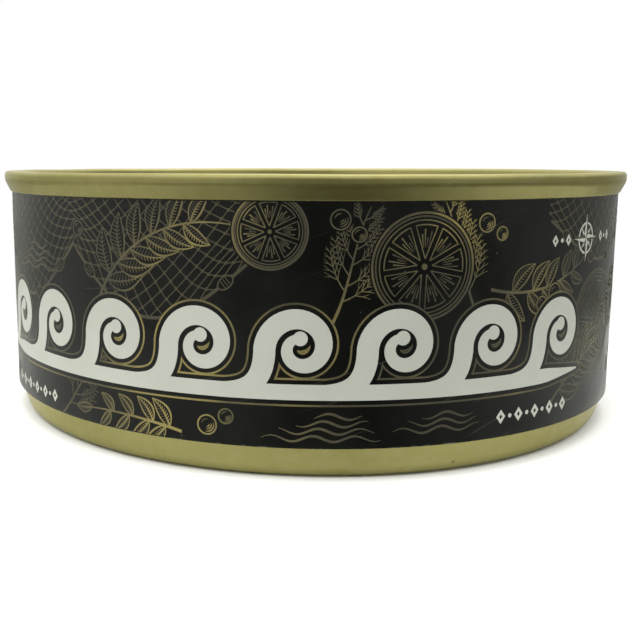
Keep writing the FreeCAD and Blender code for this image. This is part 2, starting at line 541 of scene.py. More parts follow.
class Effects:
    """Shader groups that more than one finish uses."""

    def __init__(self) -> None:
        """Build each group once."""
        self.mottle = self.make_mottle()
        self.spun_lines = self.make_spun_lines(Grain(1.0, 3.0, 0.6))
        self.specks = self.make_specks()
        self.scuffs = self.make_scuffs(Grain(55.0))

    @staticmethod
    def make_mottle(detail: float = 4.0, roughness: float = 0.55) -> bpy.types.NodeTree:
        """A soft unevenness of colour: one colour shades into another in clouds.

        Args:
            detail: the detail of the clouds' noise.
            roughness: its roughness.

        Returns:
            The group.
        """
        sockets = {
            "Vector": "Vector", "Colour": "Color", "Other": "Color",
            **floats("Scale", "Low", "High", "Amount"),
        }
        group = Group("mottle", "ShaderNodeTree", sockets, {"Colour": "Color", "Cloud": "Float"})
        wiring, inputs = group.wiring, group.inputs
        noise = wiring.noise(inputs["Vector"], inputs["Scale"], detail, roughness)
        cloud = wiring.ramp(noise, inputs["Low"], inputs["High"])
        colour = wiring.mix(cloud * inputs["Amount"], inputs["Colour"], inputs["Other"])
        return group.finish(Colour=colour, Cloud=cloud)

    @staticmethod
    def make_spun_lines(grain: Grain, breaks: float = 45.0, lean: float = 1.37) -> bpy.types.NodeTree:
        """Fine lines that run round the axis, as tools leave on drawn and seamed sheet.

        Args:
            grain: the noise that is drawn out into the lines.
            breaks: the scale along a line at which it comes and goes.
            lean: how much faster the lines follow each other up a wall than over a panel.

        Returns:
            The group.
        """
        sockets = {"Vector": "Vector", "Lines": "Float"}
        group = Group("spun_lines", "ShaderNodeTree", sockets, {"Lines": "Float"})
        wiring, inputs = group.wiring, group.inputs
        x, y, z = wiring.separate(inputs["Vector"])
        across = (wiring.distance(x, y) + z * lean) * inputs["Lines"]
        return group.finish(Lines=wiring.noise(wiring.combine(x * breaks, y * breaks, across), *grain))

    @staticmethod
    def make_specks(core: float = 0.4) -> bpy.types.NodeTree:
        """Scattered specks: dust on a surface, or pinholes in an ink.

        Args:
            core: the share of a speck's radius that is full.

        Returns:
            The group.
        """
        sockets = {"Vector": "Vector", **floats("Scale", "Size", "Share")}
        group = Group("specks", "ShaderNodeTree", sockets, {"Mask": "Float"})
        wiring, inputs = group.wiring, group.inputs
        cells = wiring.add("ShaderNodeTexVoronoi", {"Vector": inputs["Vector"], "Scale": inputs["Scale"]})
        chance = wiring.separate(Value(wiring, cells.outputs["Color"]))[0]
        distance = Value(wiring, cells.outputs["Distance"])
        near = wiring.ramp(distance, inputs["Size"] * core, inputs["Size"], 1.0, 0.0)
        return group.finish(Mask=near * wiring.math("LESS_THAN", chance, inputs["Share"]))

    @staticmethod
    def make_scuffs(
        patches: Grain,
        patch_edges: tuple[float, float] = (0.5, 0.62),
        soft: float = 0.015,
        slant: tuple[float, float, float] = (0.8, 0.35, 0.3),
        stretch: tuple[float, float] = (0.06, 1.6),
    ) -> bpy.types.NodeTree:
        """Thin handling scratches that lie in one slanting direction, in loose patches.

        Args:
            patches: the noise that parts the patches.
            patch_edges: the noise where a patch starts and where it is full.
            soft: how soft a scratch's edge is.
            slant: how far y and z count along a scratch, and x and y across it.
            stretch: the scale along a scratch and across it, as shares of the group's own.

        Returns:
            The group.
        """
        sockets = {"Vector": "Vector", **floats("Scale", "Share")}
        group = Group("scuffs", "ShaderNodeTree", sockets, {"Mask": "Float"})
        wiring, inputs = group.wiring, group.inputs
        x, y, z = wiring.separate(inputs["Vector"])
        along = x + (y * slant[0] + z * slant[1])
        across = z - (x + y) * slant[2]
        stretched = wiring.combine(along * stretch[0], across * stretch[1], y * stretch[0])
        lines = wiring.noise(stretched, inputs["Scale"])
        edge = 1.0 - inputs["Share"]
        thin = wiring.ramp(lines, edge, edge + soft)
        patch = wiring.ramp(wiring.noise(inputs["Vector"], *patches), *patch_edges)
        return group.finish(Mask=thin * patch)


class Bench:
    """A new material on which a finish is built: its nodes end in one shader."""

    def __init__(self, name: str) -> None:
        """Make the empty material.

        Args:
            name: the finish's name.
        """
        self.material = bpy.data.materials.new(name + "_finish")
        self.material.use_nodes = True
        self.material.node_tree.nodes.clear()
        self.wiring = Wiring(self.material.node_tree)
        self.shader = self.wiring.add("ShaderNodeBsdfPrincipled")
        surface = {"Surface": Value(self.wiring, self.shader.outputs[0])}
        self.wiring.add("ShaderNodeOutputMaterial", surface)
        self.place = self.wiring.value("ShaderNodeTexCoord", output="Object")

    def noise(self, grain: Grain) -> Value:
        """A noise over the surface."""
        return self.wiring.noise(self.place, *grain)

    def effect(
        self, tree: bpy.types.NodeTree, sizes: Clouds | Specks | Scuffs | Lines, **colours: Any
    ) -> dict[str, Value]:
        """Put one of the shared effects over the surface.

        Args:
            tree: the effect's group.
            sizes: its sizes, each called as its input is, in lower case.
            colours: its colours, by the input's name.

        Returns:
            Its outputs, by name.
        """
        inputs = {name.capitalize(): size for name, size in sizes._asdict().items()}
        inputs |= {name: opaque(colour) for name, colour in colours.items()}
        return self.wiring.group(tree, {"Vector": self.place, **inputs})

    def paper_relief(self) -> Value:
        """The relief of varnished paper: its fibres on a slow swell."""
        return self.noise(PAPER_FIBRES) * FIBRE_SHARE + self.noise(PAPER_SWELL)

    def finish(
        self, colour: Value, rough: Value, height: Value, relief: Relief, **constants: Any
    ) -> bpy.types.Material:
        """Feed the shader.

        Args:
            colour: its base colour.
            rough: its roughness.
            height: a height of nought to one, which bends the normal.
            relief: how far it bends it.
            constants: plain values for other inputs, by name, with _ for a blank.

        Returns:
            The finished material.
        """
        bump = {"Strength": relief.strength, "Distance": relief.depth, "Height": height}
        normal = self.wiring.value("ShaderNodeBump", bump)
        fed = {"Base Color": colour, "Roughness": rough, "Normal": normal}
        fed |= {name.replace("_", " "): value for name, value in constants.items()}
        for name, value in fed.items():
            self.wiring.feed(self.shader.inputs[name], value)
        return self.material


@dataclass(frozen=True)
class GoldLacquer:
    """Satin gold lacquer baked on tinplate, worn at the seam's crest and at the foot."""

    name: str = "gold_lacquer"
    lacquer: Colour = (0.325, 0.293, 0.104)
    thin_lacquer: Colour = (0.375, 0.35, 0.15)
    thick_lacquer: Colour = (0.270, 0.238, 0.076)
    grazing: Colour = (0.82, 0.78, 0.50)
    bare_tin: Colour = (0.42, 0.41, 0.30)
    dirt: Colour = (0.06, 0.05, 0.025)
    broad_clouds: Clouds = Clouds(38.0, 0.75)
    fine_clouds: Clouds = Clouds(620.0, 0.35)
    scuffs: Scuffs = Scuffs(1500.0, 0.33)
    specks: Specks = Specks(420.0, 0.16, 0.06)
    spun_lines: Lines = Lines(5200.0)
    rubbing: Grain = Grain(240.0, 4.0, 0.7)
    rubbing_edges: tuple[float, float] = (0.52, 0.66)
    peel: Grain = Grain(1500.0)
    roughness: float = 0.33
    cloud_roughness: float = 0.07
    line_roughness: float = 0.16
    bare_roughness: float = 0.10
    coat_weight: float = 0.45
    coat_roughness: float = 0.16
    crest_z: float = 38.3
    crest_fade: float = 0.18
    foot_z: float = 0.5
    worn_share: float = 0.7
    scuff_share: float = 0.35
    speck_share: float = 0.6
    peel_depth: float = 0.5
    scuff_depth: float = 0.8
    relief_depth: Relief = Relief(0.000012, 0.5)

    def material(self, effects: Effects) -> bpy.types.Material:
        """Build the material.

        Args:
            effects: the shared shader groups.

        Returns:
            The material.
        """
        bench = Bench(self.name)
        wiring = bench.wiring
        _, _, height = wiring.separate(bench.place)
        lines = bench.effect(effects.spun_lines, self.spun_lines)["Lines"]
        mottle = effects.mottle
        broad = bench.effect(mottle, self.broad_clouds, Colour=self.lacquer, Other=self.thick_lacquer)
        fine = bench.effect(mottle, self.fine_clouds, Colour=broad["Colour"], Other=self.thin_lacquer)
        scuffs = bench.effect(effects.scuffs, self.scuffs)["Mask"]
        specks = bench.effect(effects.specks, self.specks)["Mask"]
        crest = wiring.ramp(height, self.crest_z * MM, (self.crest_z + self.crest_fade) * MM)
        foot = wiring.ramp(height, 0.0, self.foot_z * MM, 1.0, 0.0)
        rubbed = wiring.ramp(bench.noise(self.rubbing), *self.rubbing_edges)
        worn = wiring.math("MAXIMUM", crest, foot) * rubbed
        bare = wiring.math("MAXIMUM", worn * self.worn_share, scuffs * self.scuff_share)
        colour = wiring.mix(bare, fine["Colour"], self.bare_tin)
        colour = wiring.mix(specks * self.speck_share, colour, self.dirt)
        rough = wiring.ramp(broad["Cloud"], 0.0, 1.0, self.roughness, self.roughness + self.cloud_roughness)
        rough = rough + (lines - 0.5) * self.line_roughness + bare * self.bare_roughness
        relief = lines + bench.noise(self.peel) * self.peel_depth - scuffs * self.scuff_depth
        return bench.finish(
            colour, rough, relief, self.relief_depth,
            Metallic=1.0,
            Specular_Tint=opaque(self.grazing),
            Coat_Weight=self.coat_weight,
            Coat_Roughness=self.coat_roughness,
        )


@dataclass(frozen=True)
class SleevePaper:
    """Black print under varnish on thin paper, with pale cut edges."""

    name: str = "label_black"
    ink: Colour = (0.0024, 0.0030, 0.0021)
    rubbed_ink: Colour = (0.0058, 0.0060, 0.0042)
    paper: Colour = (0.42, 0.40, 0.33)
    dust: Colour = (0.09, 0.088, 0.072)
    clouds: Clouds = Clouds(90.0, 0.8)
    specks: Specks = Specks(760.0, 0.13, 0.035)
    scuffs: Scuffs = Scuffs(1200.0, 0.33)
    rubbing: Grain = Grain(800.0, 4.0, 0.7)
    rubbing_edges: tuple[float, float] = (0.5, 0.7)
    roughness: float = 0.24
    cloud_roughness: tuple[float, float] = (-0.04, 0.08)
    scuff_roughness: float = 0.12
    specular: float = 0.30
    bottom_z: float = 4.5
    top_z: float = 35.2
    worn_from: float = 0.03
    worn_to: float = 0.22
    worn_share: float = 0.25
    cut_facing: tuple[float, float] = (0.3, 0.6)
    speck_share: float = 0.7
    scuff_share: float = 0.22

    def material(self, effects: Effects) -> bpy.types.Material:
        """Build the material.

        Args:
            effects: the shared shader groups.

        Returns:
            The material.
        """
        bench = Bench(self.name)
        wiring = bench.wiring
        x, y, height = wiring.separate(bench.place)
        clouds = bench.effect(effects.mottle, self.clouds, Colour=self.ink, Other=self.rubbed_ink)
        specks = bench.effect(effects.specks, self.specks)["Mask"]
        scuffs = bench.effect(effects.scuffs, self.scuffs)["Mask"]
        rubbed = wiring.ramp(bench.noise(self.rubbing), *self.rubbing_edges)
        bottom, top = self.bottom_z, self.top_z
        low_edge = 1.0 - wiring.ramp(height, (bottom + self.worn_from) * MM, (bottom + self.worn_to) * MM)
        high_edge = wiring.ramp(height, (top - self.worn_to) * MM, (top - self.worn_from) * MM)
        outwards = wiring.value("ShaderNodeVectorMath", {0: wiring.combine(x, y, 0.0)}, operation="NORMALIZE")
        normal = wiring.value("ShaderNodeNewGeometry", output="True Normal")
        facing = wiring.value(
            "ShaderNodeVectorMath", {0: normal, 1: outwards}, output="Value", operation="DOT_PRODUCT"
        )
        cut = wiring.ramp(wiring.math("ABSOLUTE", facing), *self.cut_facing, 1.0, 0.0)
        worn = wiring.math("MAXIMUM", low_edge, high_edge) * rubbed * self.worn_share
        colour = wiring.mix(specks * self.speck_share, clouds["Colour"], self.dust)
        colour = wiring.mix(scuffs * self.scuff_share, colour, self.dust)
        colour = wiring.mix(wiring.math("MAXIMUM", cut, worn), colour, self.paper)
        low, high = self.cloud_roughness
        rough = wiring.ramp(clouds["Cloud"], 0.0, 1.0, self.roughness + low, self.roughness + high)
        rough = rough + scuffs * self.scuff_roughness
        return bench.finish(
            colour, rough, bench.paper_relief(), PAPER_RELIEF, Specular_IOR_Level=self.specular
        )


@dataclass(frozen=True)
class PrintedInk:
    """One ink of the print, under the same varnish as the paper."""

    name: str
    ink: Colour
    thin_ink: Colour
    pinhole: Colour = (0.05, 0.048, 0.04)
    broad_clouds: Clouds = Clouds(120.0, 0.6)
    fine_clouds: Clouds = Clouds(2600.0, 0.25)
    pinholes: Specks = Specks(900.0, 0.12, 0.03)
    pinhole_share: float = 0.5
    metallic: float = 0.0
    roughness: float = 0.30
    cloud_roughness: float = 0.08
    specular: float = 0.32

    def material(self, effects: Effects) -> bpy.types.Material:
        """Build the material.

        Args:
            effects: the shared shader groups.

        Returns:
            The material.
        """
        bench = Bench(self.name)
        wiring = bench.wiring
        broad = bench.effect(effects.mottle, self.broad_clouds, Colour=self.ink, Other=self.thin_ink)
        fine = bench.effect(effects.mottle, self.fine_clouds, Colour=broad["Colour"], Other=self.thin_ink)
        holes = bench.effect(effects.specks, self.pinholes)["Mask"]
        colour = wiring.mix(holes * self.pinhole_share, fine["Colour"], self.pinhole)
        rough = wiring.ramp(broad["Cloud"], 0.0, 1.0, self.roughness, self.roughness + self.cloud_roughness)
        return bench.finish(
            colour, rough, bench.paper_relief(), PAPER_RELIEF,
            Metallic=self.metallic, Specular_IOR_Level=self.specular,
        )


# --------------------------------------------------------------------- metal


class Corner(NamedTuple):
    """One corner of a profile, and the radius that rounds it."""

    r: float
    z: float
    round: float = 0.0


def rounded_line(corners: Sequence[Corner], arc_step: float = 12.0, hold: float = 0.12) -> list[complex]:
    """Points along a line of corners, with tangent arcs at the rounded ones.

    Args:
        corners: the sharp corners, in order.
        arc_step: the most that two neighbouring points of an arc turn, in degrees.
        hold: how far from an arc's end a point keeps the straight run flat.

    Returns:
        The points, as radius + height * 1j.
    """
    points = [complex(corners[0].r, corners[0].z)]
    for before, corner, after in zip(corners, corners[1:], corners[2:]):
        here = complex(corner.r, corner.z)
        way_in = here - complex(before.r, before.z)
        way_out = complex(after.r, after.z) - here
        way_in, way_out = way_in / abs(way_in), way_out / abs(way_out)
        turn = math.atan2((way_out / way_in).imag, (way_out / way_in).real)
        if corner.round == 0 or abs(turn) < 1e-6:
            points.append(here)
            continue
        setback = corner.round * math.tan(abs(turn) / 2)
        start = here - way_in * setback
        centre = start + way_in * 1j * math.copysign(corner.round, turn)
        steps = max(2, math.ceil(math.degrees(abs(turn)) / arc_step))
        arc = [centre + (start - centre) * np.exp(1j * turn * k / steps) for k in range(steps + 1)]
        if abs(start - points[-1]) > 3 * hold:
            points.append(start - way_in * hold)
        points += arc
        end_run = abs(complex(after.r, after.z) - arc[-1])
        if end_run > 3 * hold:
            points.append(arc[-1] + way_out * hold)
    points.append(complex(corners[-1].r, corners[-1].z))
    return [p for k, p in enumerate(points) if k == 0 or abs(p - points[k - 1]) > 1e-5]


def spaced(points: list[complex], gap: float) -> list[complex]:
    """The same line with extra points, so that no two neighbours lie far apart.

    Args:
        points: the line's points.
        gap: the most that two neighbours may lie apart.

    Returns:
        The points of the line, with those in between.
    """
    filled = points[:1]
    for start, end in zip(points, points[1:]):
        parts = max(1, math.ceil(abs(end - start) / gap))
        filled += [start + (end - start) * k / parts for k in range(1, parts + 1)]
    return filled


@dataclass(frozen=True)
class TinMetal:
    """The lid with its double seam, and the drawn body that they close.

    An inset is measured inwards from the outside of the straight wall, and an overhang outwards.
    A draft is in degrees from upright. Give and sag are how uneven the walls and the lid are.
    """

    height: float = 38.5
    wall_radius: float = 49.88
    sheet: float = 0.25
    seam_height: float = 3.2
    seam_overhang: float = 1.27
    seam_widest_drop: float = 1.45
    seam_lip_overhang: float = 0.42
    seam_outer_round: float = 0.6
    seam_inner_round: float = 0.7
    seam_face_blend: float = 1.6
    seam_lip_round: float = 0.3
    chuck_inset: float = 0.68
    chuck_draft: float = 8.0
    countersink_depth: float = 4.1
    groove_width: float = 1.7
    groove_round: float = 0.65
    panel_rise: float = 0.8
    step_draft: float = 40.0
    step_round: float = 0.8
    lid_bead_height: float = 0.45
    lid_beads: tuple[tuple[float, float], ...] = ((11.0, 4.4), (20.5, 3.6))
    lid_centre_inset: float = 30.0
    lid_centre_drop: float = 0.4
    bevel_height: float = 5.0
    bevel_inset: float = 1.57
    bevel_blend: float = 5.0
    foot_round: float = 2.2
    foot_width: float = 3.0
    foot_inner_round: float = 0.9
    base_rise: float = 1.1
    base_bead_height: float = 0.5
    base_beads: tuple[tuple[float, float], ...] = ((9.5, 3.8), (18.0, 3.8), (26.5, 3.8))
    steps: int = 256
    row_gap: float = 2.5
    give: float = 0.14
    sag: float = 0.22

    def run(self, rise: float) -> float:
        """How far a pressed step runs sideways over its rise."""
        return rise * math.tan(math.radians(self.step_draft))

    def bead_corners(self, beads: Iterable[tuple[float, float]], panel_z: float, rise: float) -> list[Corner]:
        """Corners of the raised rings on a panel.

        Args:
            beads: each ring's inset from the wall and its width.
            panel_z: the panel's level.
            rise: how far the rings stand out from it.

        Returns:
            The corners, from the axis outwards.
        """
        corners = []
        for inset, width in sorted(beads, reverse=True):
            outer = self.wall_radius - inset
            inner = outer - width
            corners += [
                Corner(inner, panel_z, self.step_round),
                Corner(inner + self.run(rise), panel_z + rise, self.step_round),
                Corner(outer - self.run(rise), panel_z + rise, self.step_round),
                Corner(outer, panel_z, self.step_round),
            ]
        return corners

    def seam_foot(self) -> float:
        """The level of the seam's lower face."""
        return self.height - self.seam_height

    def lid_line(self, drop: float) -> list[Corner]:
        """The lid's surface from its centre to the foot of the seam, or its underside a sheet lower.

        Args:
            drop: how far the line lies below the lid's upper surface, along its normals.

        Returns:
            The corners, from the axis outwards.
        """
        groove_z = self.height - self.countersink_depth
        panel_z = groove_z + self.panel_rise
        centre_z = panel_z - self.lid_centre_drop
        centre_edge = self.wall_radius - self.lid_centre_inset
        chuck_top = Corner(self.wall_radius - self.chuck_inset, self.height)
        groove_outer = chuck_top.r - self.countersink_depth * math.tan(math.radians(self.chuck_draft))
        groove_inner = groove_outer - self.groove_width
        top = [
            Corner(0, centre_z),
            Corner(centre_edge - self.run(self.lid_centre_drop), centre_z, self.step_round),
            Corner(centre_edge, panel_z, self.step_round),
            *self.bead_corners(self.lid_beads, panel_z, self.lid_bead_height),
            Corner(groove_inner - self.run(self.panel_rise), panel_z, self.step_round),
            Corner(groove_inner, groove_z, self.groove_round),
            Corner(groove_outer, groove_z, self.groove_round),
            chuck_top,
        ]
        line = self.shifted(top, drop)
        low, high = line[-2], line[-1]
        share = (self.seam_foot() - low.z) / (high.z - low.z)
        return [*line[:-1], Corner(low.r + share * (high.r - low.r), self.seam_foot())]

    @staticmethod
    def shifted(corners: list[Corner], distance: float) -> list[Corner]:
        """Move a line to its right hand side, with its rounded bends kept parallel.

        Args:
            corners: the line's corners.
            distance: how far it moves.

        Returns:
            The moved line's corners.
        """
        points = [complex(c.r, c.z) for c in corners]
        ways = [(b - a) / abs(b - a) for a, b in zip(points, points[1:])]
        moved = []
        for k, corner in enumerate(corners):
            way_in, way_out = ways[max(k - 1, 0)], ways[min(k, len(ways) - 1)]
            normal = -1j * (way_in + way_out)
            point = points[k] + normal * distance / (1 + (way_in * way_out.conjugate()).real)
            turn = (way_out / way_in).imag
            round_radius = corner.round + math.copysign(distance, turn) if corner.round else 0.0
            moved.append(Corner(point.real, point.imag, round_radius))
        return moved

    def seam_line(self) -> list[Corner]:
        """The outside of the double seam.

        Returns:
            The corners, from its inner side over its top and down to the wall.
        """
        widest = self.wall_radius + self.seam_overhang
        return [
            Corner(self.wall_radius - self.chuck_inset, self.height, self.seam_inner_round),
            Corner(widest, self.height, self.seam_outer_round),
            Corner(widest, self.height - self.seam_widest_drop, self.seam_face_blend),
            Corner(self.wall_radius + self.seam_lip_overhang, self.seam_foot(), self.seam_lip_round),
            Corner(self.wall_radius, self.seam_foot()),
        ]

    def body_line(self) -> list[Corner]:
        """The outside of the body.

        Returns:
            The corners, from the seam down the wall and in over the base.
        """
        bevel_foot = self.wall_radius - self.bevel_inset
        foot_inner = bevel_foot - self.foot_width
        return [
            Corner(self.wall_radius, self.seam_foot()),
            Corner(self.wall_radius, self.bevel_height, self.bevel_blend),
            Corner(bevel_foot, 0, self.foot_round),
            Corner(foot_inner, 0, self.foot_inner_round),
            Corner(foot_inner - self.run(self.base_rise), self.base_rise, self.step_round),
            *reversed(self.bead_corners(self.base_beads, self.base_rise, self.base_bead_height)),
            Corner(0, self.base_rise),
        ]

    def spun(
        self, trees: Trees, name: str, corners: list[Corner], finish: bpy.types.Material
    ) -> bpy.types.Object:
        """Spin a closed line of corners round the axis.

        Args:
            trees: the geometry trees.
            name: the new piece's name.
            corners: the line, which starts and ends on the axis.
            finish: the piece's material.

        Returns:
            The piece.
        """
        points = spaced(rounded_line(corners), self.row_gap)
        profile = plain_mesh(
            name + "_profile",
            [(p.real * MM, 0.0, p.imag * MM) for p in points],
            [(k, k + 1) for k in range(len(points) - 1)],
        )
        groove_foot = self.height - self.countersink_depth - self.sheet
        return grow(name, trees.spin, {
            "Steps": self.steps,
            "Rows": len(points),
            "Wall Radius": self.wall_radius * MM,
            "Give": self.give * MM,
            "Sag": self.sag * MM,
            "Lid Level": groove_foot * MM,
            "Finish": finish,
        }, profile)

    def build(self, trees: Trees, finish: bpy.types.Material) -> list[bpy.types.Object]:
        """Make both metal pieces and tie them to the frame.

        Args:
            trees: the geometry trees.
            finish: the lacquer.

        Returns:
            The lid with its seam, and the body.
        """
        underside = self.lid_line(self.sheet)
        end_line = self.lid_line(0.0) + self.seam_line() + underside[::-1]
        end = self.spun(trees, "tin_end", end_line, finish)
        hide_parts("lid", "seam")
        body = self.spun(trees, "body_shell", underside + self.body_line(), finish)
        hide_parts("can_body")
        for piece in (end, body):
            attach(piece, BODY)
        return [end, body]


# ------------------------------------------------------------------- artwork


class Ink(Enum):
    """The inks of the print; black leaves the sleeve's own black bare."""

    BLACK = "label_black"
    WHITE = "print_white"
    GOLD = "print_gold"
    NET = "print_net"
    FRUIT = "print_fruit"
    HERB = "print_herb"
    LEAF = "print_leaf"
    KEYLINE = "print_keyline"
    BRONZE = "print_bronze"

    def slot(self) -> str:
        """The record's slot that a layer takes its finish from: some layers share one ink.

        Returns:
            The slot's name.
        """
        if self in (Ink.FRUIT, Ink.HERB, Ink.LEAF, Ink.KEYLINE):
            return Ink.GOLD.value
        return Ink.BRONZE.value if self is Ink.NET else self.value


def unit(angle: float) -> complex:
    """The direction at an angle in degrees, counted from rightwards to upwards."""
    return complex(math.cos(math.radians(angle)), math.sin(math.radians(angle)))


def heading_of(way: complex) -> float:
    """The angle of a direction, in degrees."""
    return math.degrees(math.atan2(way.imag, way.real))


def arc(centre: complex, start: float, end: float, radius: float, steps: int) -> list[complex]:
    """Points on an arc, between two angles in degrees."""
    return [centre + unit(start + (end - start) * k / steps) * radius for k in range(steps + 1)]


def curve(a: complex, b: complex, c: complex, d: complex, steps: int) -> list[complex]:
    """Points on a cubic curve.

    Args:
        a: its first end.
        b: the handle of its first end.
        c: the handle of its last end.
        d: its last end.
        steps: how many steps it takes.

    Returns:
        The points.
    """
    return [
        a * (1 - t) ** 3 + 3 * b * t * (1 - t) ** 2 + 3 * c * t * t * (1 - t) + d * t ** 3
        for t in (k / steps for k in range(steps + 1))
    ]


def swelling(count: int, ends: float, middle: float) -> list[float]:
    """Widths of an engraved line that is thin at both ends."""
    return [ends + (middle - ends) * math.sin(math.pi * k / (count - 1)) for k in range(count)]


def tapering(count: int, start: float, loss: float) -> list[float]:
    """Widths of a line that gets thinner from its start to its end."""
    return [start - loss * k / (count - 1) for k in range(count)]


@dataclass
class Artwork:
    """Flat shapes on the unrolled sleeve: along it and up it, later ones over earlier ones.

    The print is cut into columns, so that it can bend with the sleeve.
    """

    bottom: float
    top: float
    column: float = 2.0
    least: float = 1e-5
    shapes: list[tuple[Ink, list[complex]]] = field(default_factory=list)

    def patch(self, ink: Ink, outline: Sequence[complex]) -> None:
        """Add one convex shape, turned to run anticlockwise; a crossed one is taken as triangles.

        Args:
            ink: its ink.
            outline: its corners in order.
        """
        corners = list(outline)
        turns = [
            ((b - a).conjugate() * (c - b)).imag
            for a, b, c in zip(corners, corners[1:] + corners[:1], corners[2:] + corners[:2])
        ]
        if len(corners) > 3 and min(turns) < 0 < max(turns):
            for b, c in zip(corners[1:], corners[2:]):
                self.patch(ink, [corners[0], b, c])
        elif abs(sum(turns)) > self.least:
            self.shapes.append((ink, corners if sum(turns) > 0 else corners[::-1]))

    def strip(self, ink: Ink, left: Sequence[complex], right: Sequence[complex]) -> None:
        """Fill the space between two lines of points."""
        for a, b, c, d in zip(left, right, right[1:], left[1:]):
            self.patch(ink, [a, b, c, d])

    def disc(self, ink: Ink, centre: complex, radius: float, sides: int = 12) -> None:
        """Add a filled disc."""
        self.patch(ink, [centre + radius * unit(360 * (k + 0.5) / sides) for k in range(sides)])

    def stroke(
        self, ink: Ink, path: Sequence[complex], width: float | Sequence[float], round_ends: bool = False
    ) -> None:
        """Add a line with a width.

        Args:
            ink: its ink.
            path: the points along its middle.
            width: one width, or one for each point.
            round_ends: whether half discs close the ends.
        """
        widths = [width] * len(path) if isinstance(width, (int, float)) else list(width)
        sides = []
        for k, point in enumerate(path):
            before, after = path[max(k - 1, 0)], path[min(k + 1, len(path) - 1)]
            way = (point - before) / (abs(point - before) or 1) + (after - point) / (abs(after - point) or 1)
            normal = 1j * way / (abs(way) or 1)
            sides.append((point + normal * widths[k] / 2, point - normal * widths[k] / 2))
        self.strip(ink, [left for left, _ in sides], [right for _, right in sides])
        if round_ends:
            for end in (0, -1):
                self.disc(ink, path[end], widths[end] / 2, 14)

    def ring(self, ink: Ink, centre: complex, radius: float, width: float, steps: int = 40) -> None:
        """Add a circle drawn as a line."""
        self.stroke(ink, arc(centre, 0, 360, radius, steps), width)

    def covering(self, points: np.ndarray) -> np.ndarray:
        """Find the shape that lies on top at each point.

        Args:
            points: the points.

        Returns:
            The number of the last shape over each point, or -1 where the sleeve is bare.
        """
        order = np.argsort(points.real)
        along = points.real[order]
        top = np.full(len(points), -1)
        for number, (_, outline) in enumerate(self.shapes):
            corners = np.array(outline)
            first, last = np.searchsorted(along, (corners.real.min(), corners.real.max()))
            near = order[first:last]
            inside = np.ones(len(near), dtype=bool)
            for a, b in zip(corners, np.roll(corners, -1)):
                inside &= ((b - a).conjugate() * (points[near] - a)).imag >= 0
            top[near[inside]] = number
        return top

    def films(self) -> dict[Ink, tuple[np.ndarray, np.ndarray]]:
        """Cut all shapes where they cross, and give each piece to the ink that lies on top.

        Returns:
            For each ink but black, its flat points and its triangles.
        """
        corners: list[complex] = []
        edges: list[tuple[int, int]] = []
        for _, outline in self.shapes:
            first, count = len(corners), len(outline)
            edges += [(first + k, first + (k + 1) % count) for k in range(count)]
            corners += outline
        left = min(p.real for p in corners)
        right = max(p.real for p in corners)
        ends = [
            (complex(k * self.column, self.bottom - 1), complex(k * self.column, self.top + 1))
            for k in range(math.floor(left / self.column), math.ceil(right / self.column) + 1)
        ]
        ends += [(complex(left - 1, level), complex(right + 1, level)) for level in (self.bottom, self.top)]
        for pair in ends:
            edges.append((len(corners), len(corners) + 1))
            corners += pair
        cut = delaunay_2d_cdt([Vector((p.real, p.imag)) for p in corners], edges, [], 0, self.least, False)
        points = np.array([complex(p.x, p.y) for p in cut[0]])
        triangles = np.array(cut[2])
        middles = points[triangles].mean(axis=1)
        on_sleeve = (middles.imag > self.bottom) & (middles.imag < self.top)
        triangles, middles = triangles[on_sleeve], middles[on_sleeve]
        inks = np.array([*(list(Ink).index(ink) for ink, _ in self.shapes), 0])[self.covering(middles)]
        films = {}
        for number, ink in enumerate(Ink):
            chosen = triangles[inks == number]
            if number and len(chosen):
                used, renumbered = np.unique(chosen, return_inverse=True)
                films[ink] = (points[used], renumbered.reshape(-1, 3))
        return films


class Motif(Protocol):
    """Anything that can be drawn on the artwork."""

    def draw(self, art: Artwork) -> None:
        """Draw it over what is there.

        Args:
            art: the artwork that it goes on.
        """


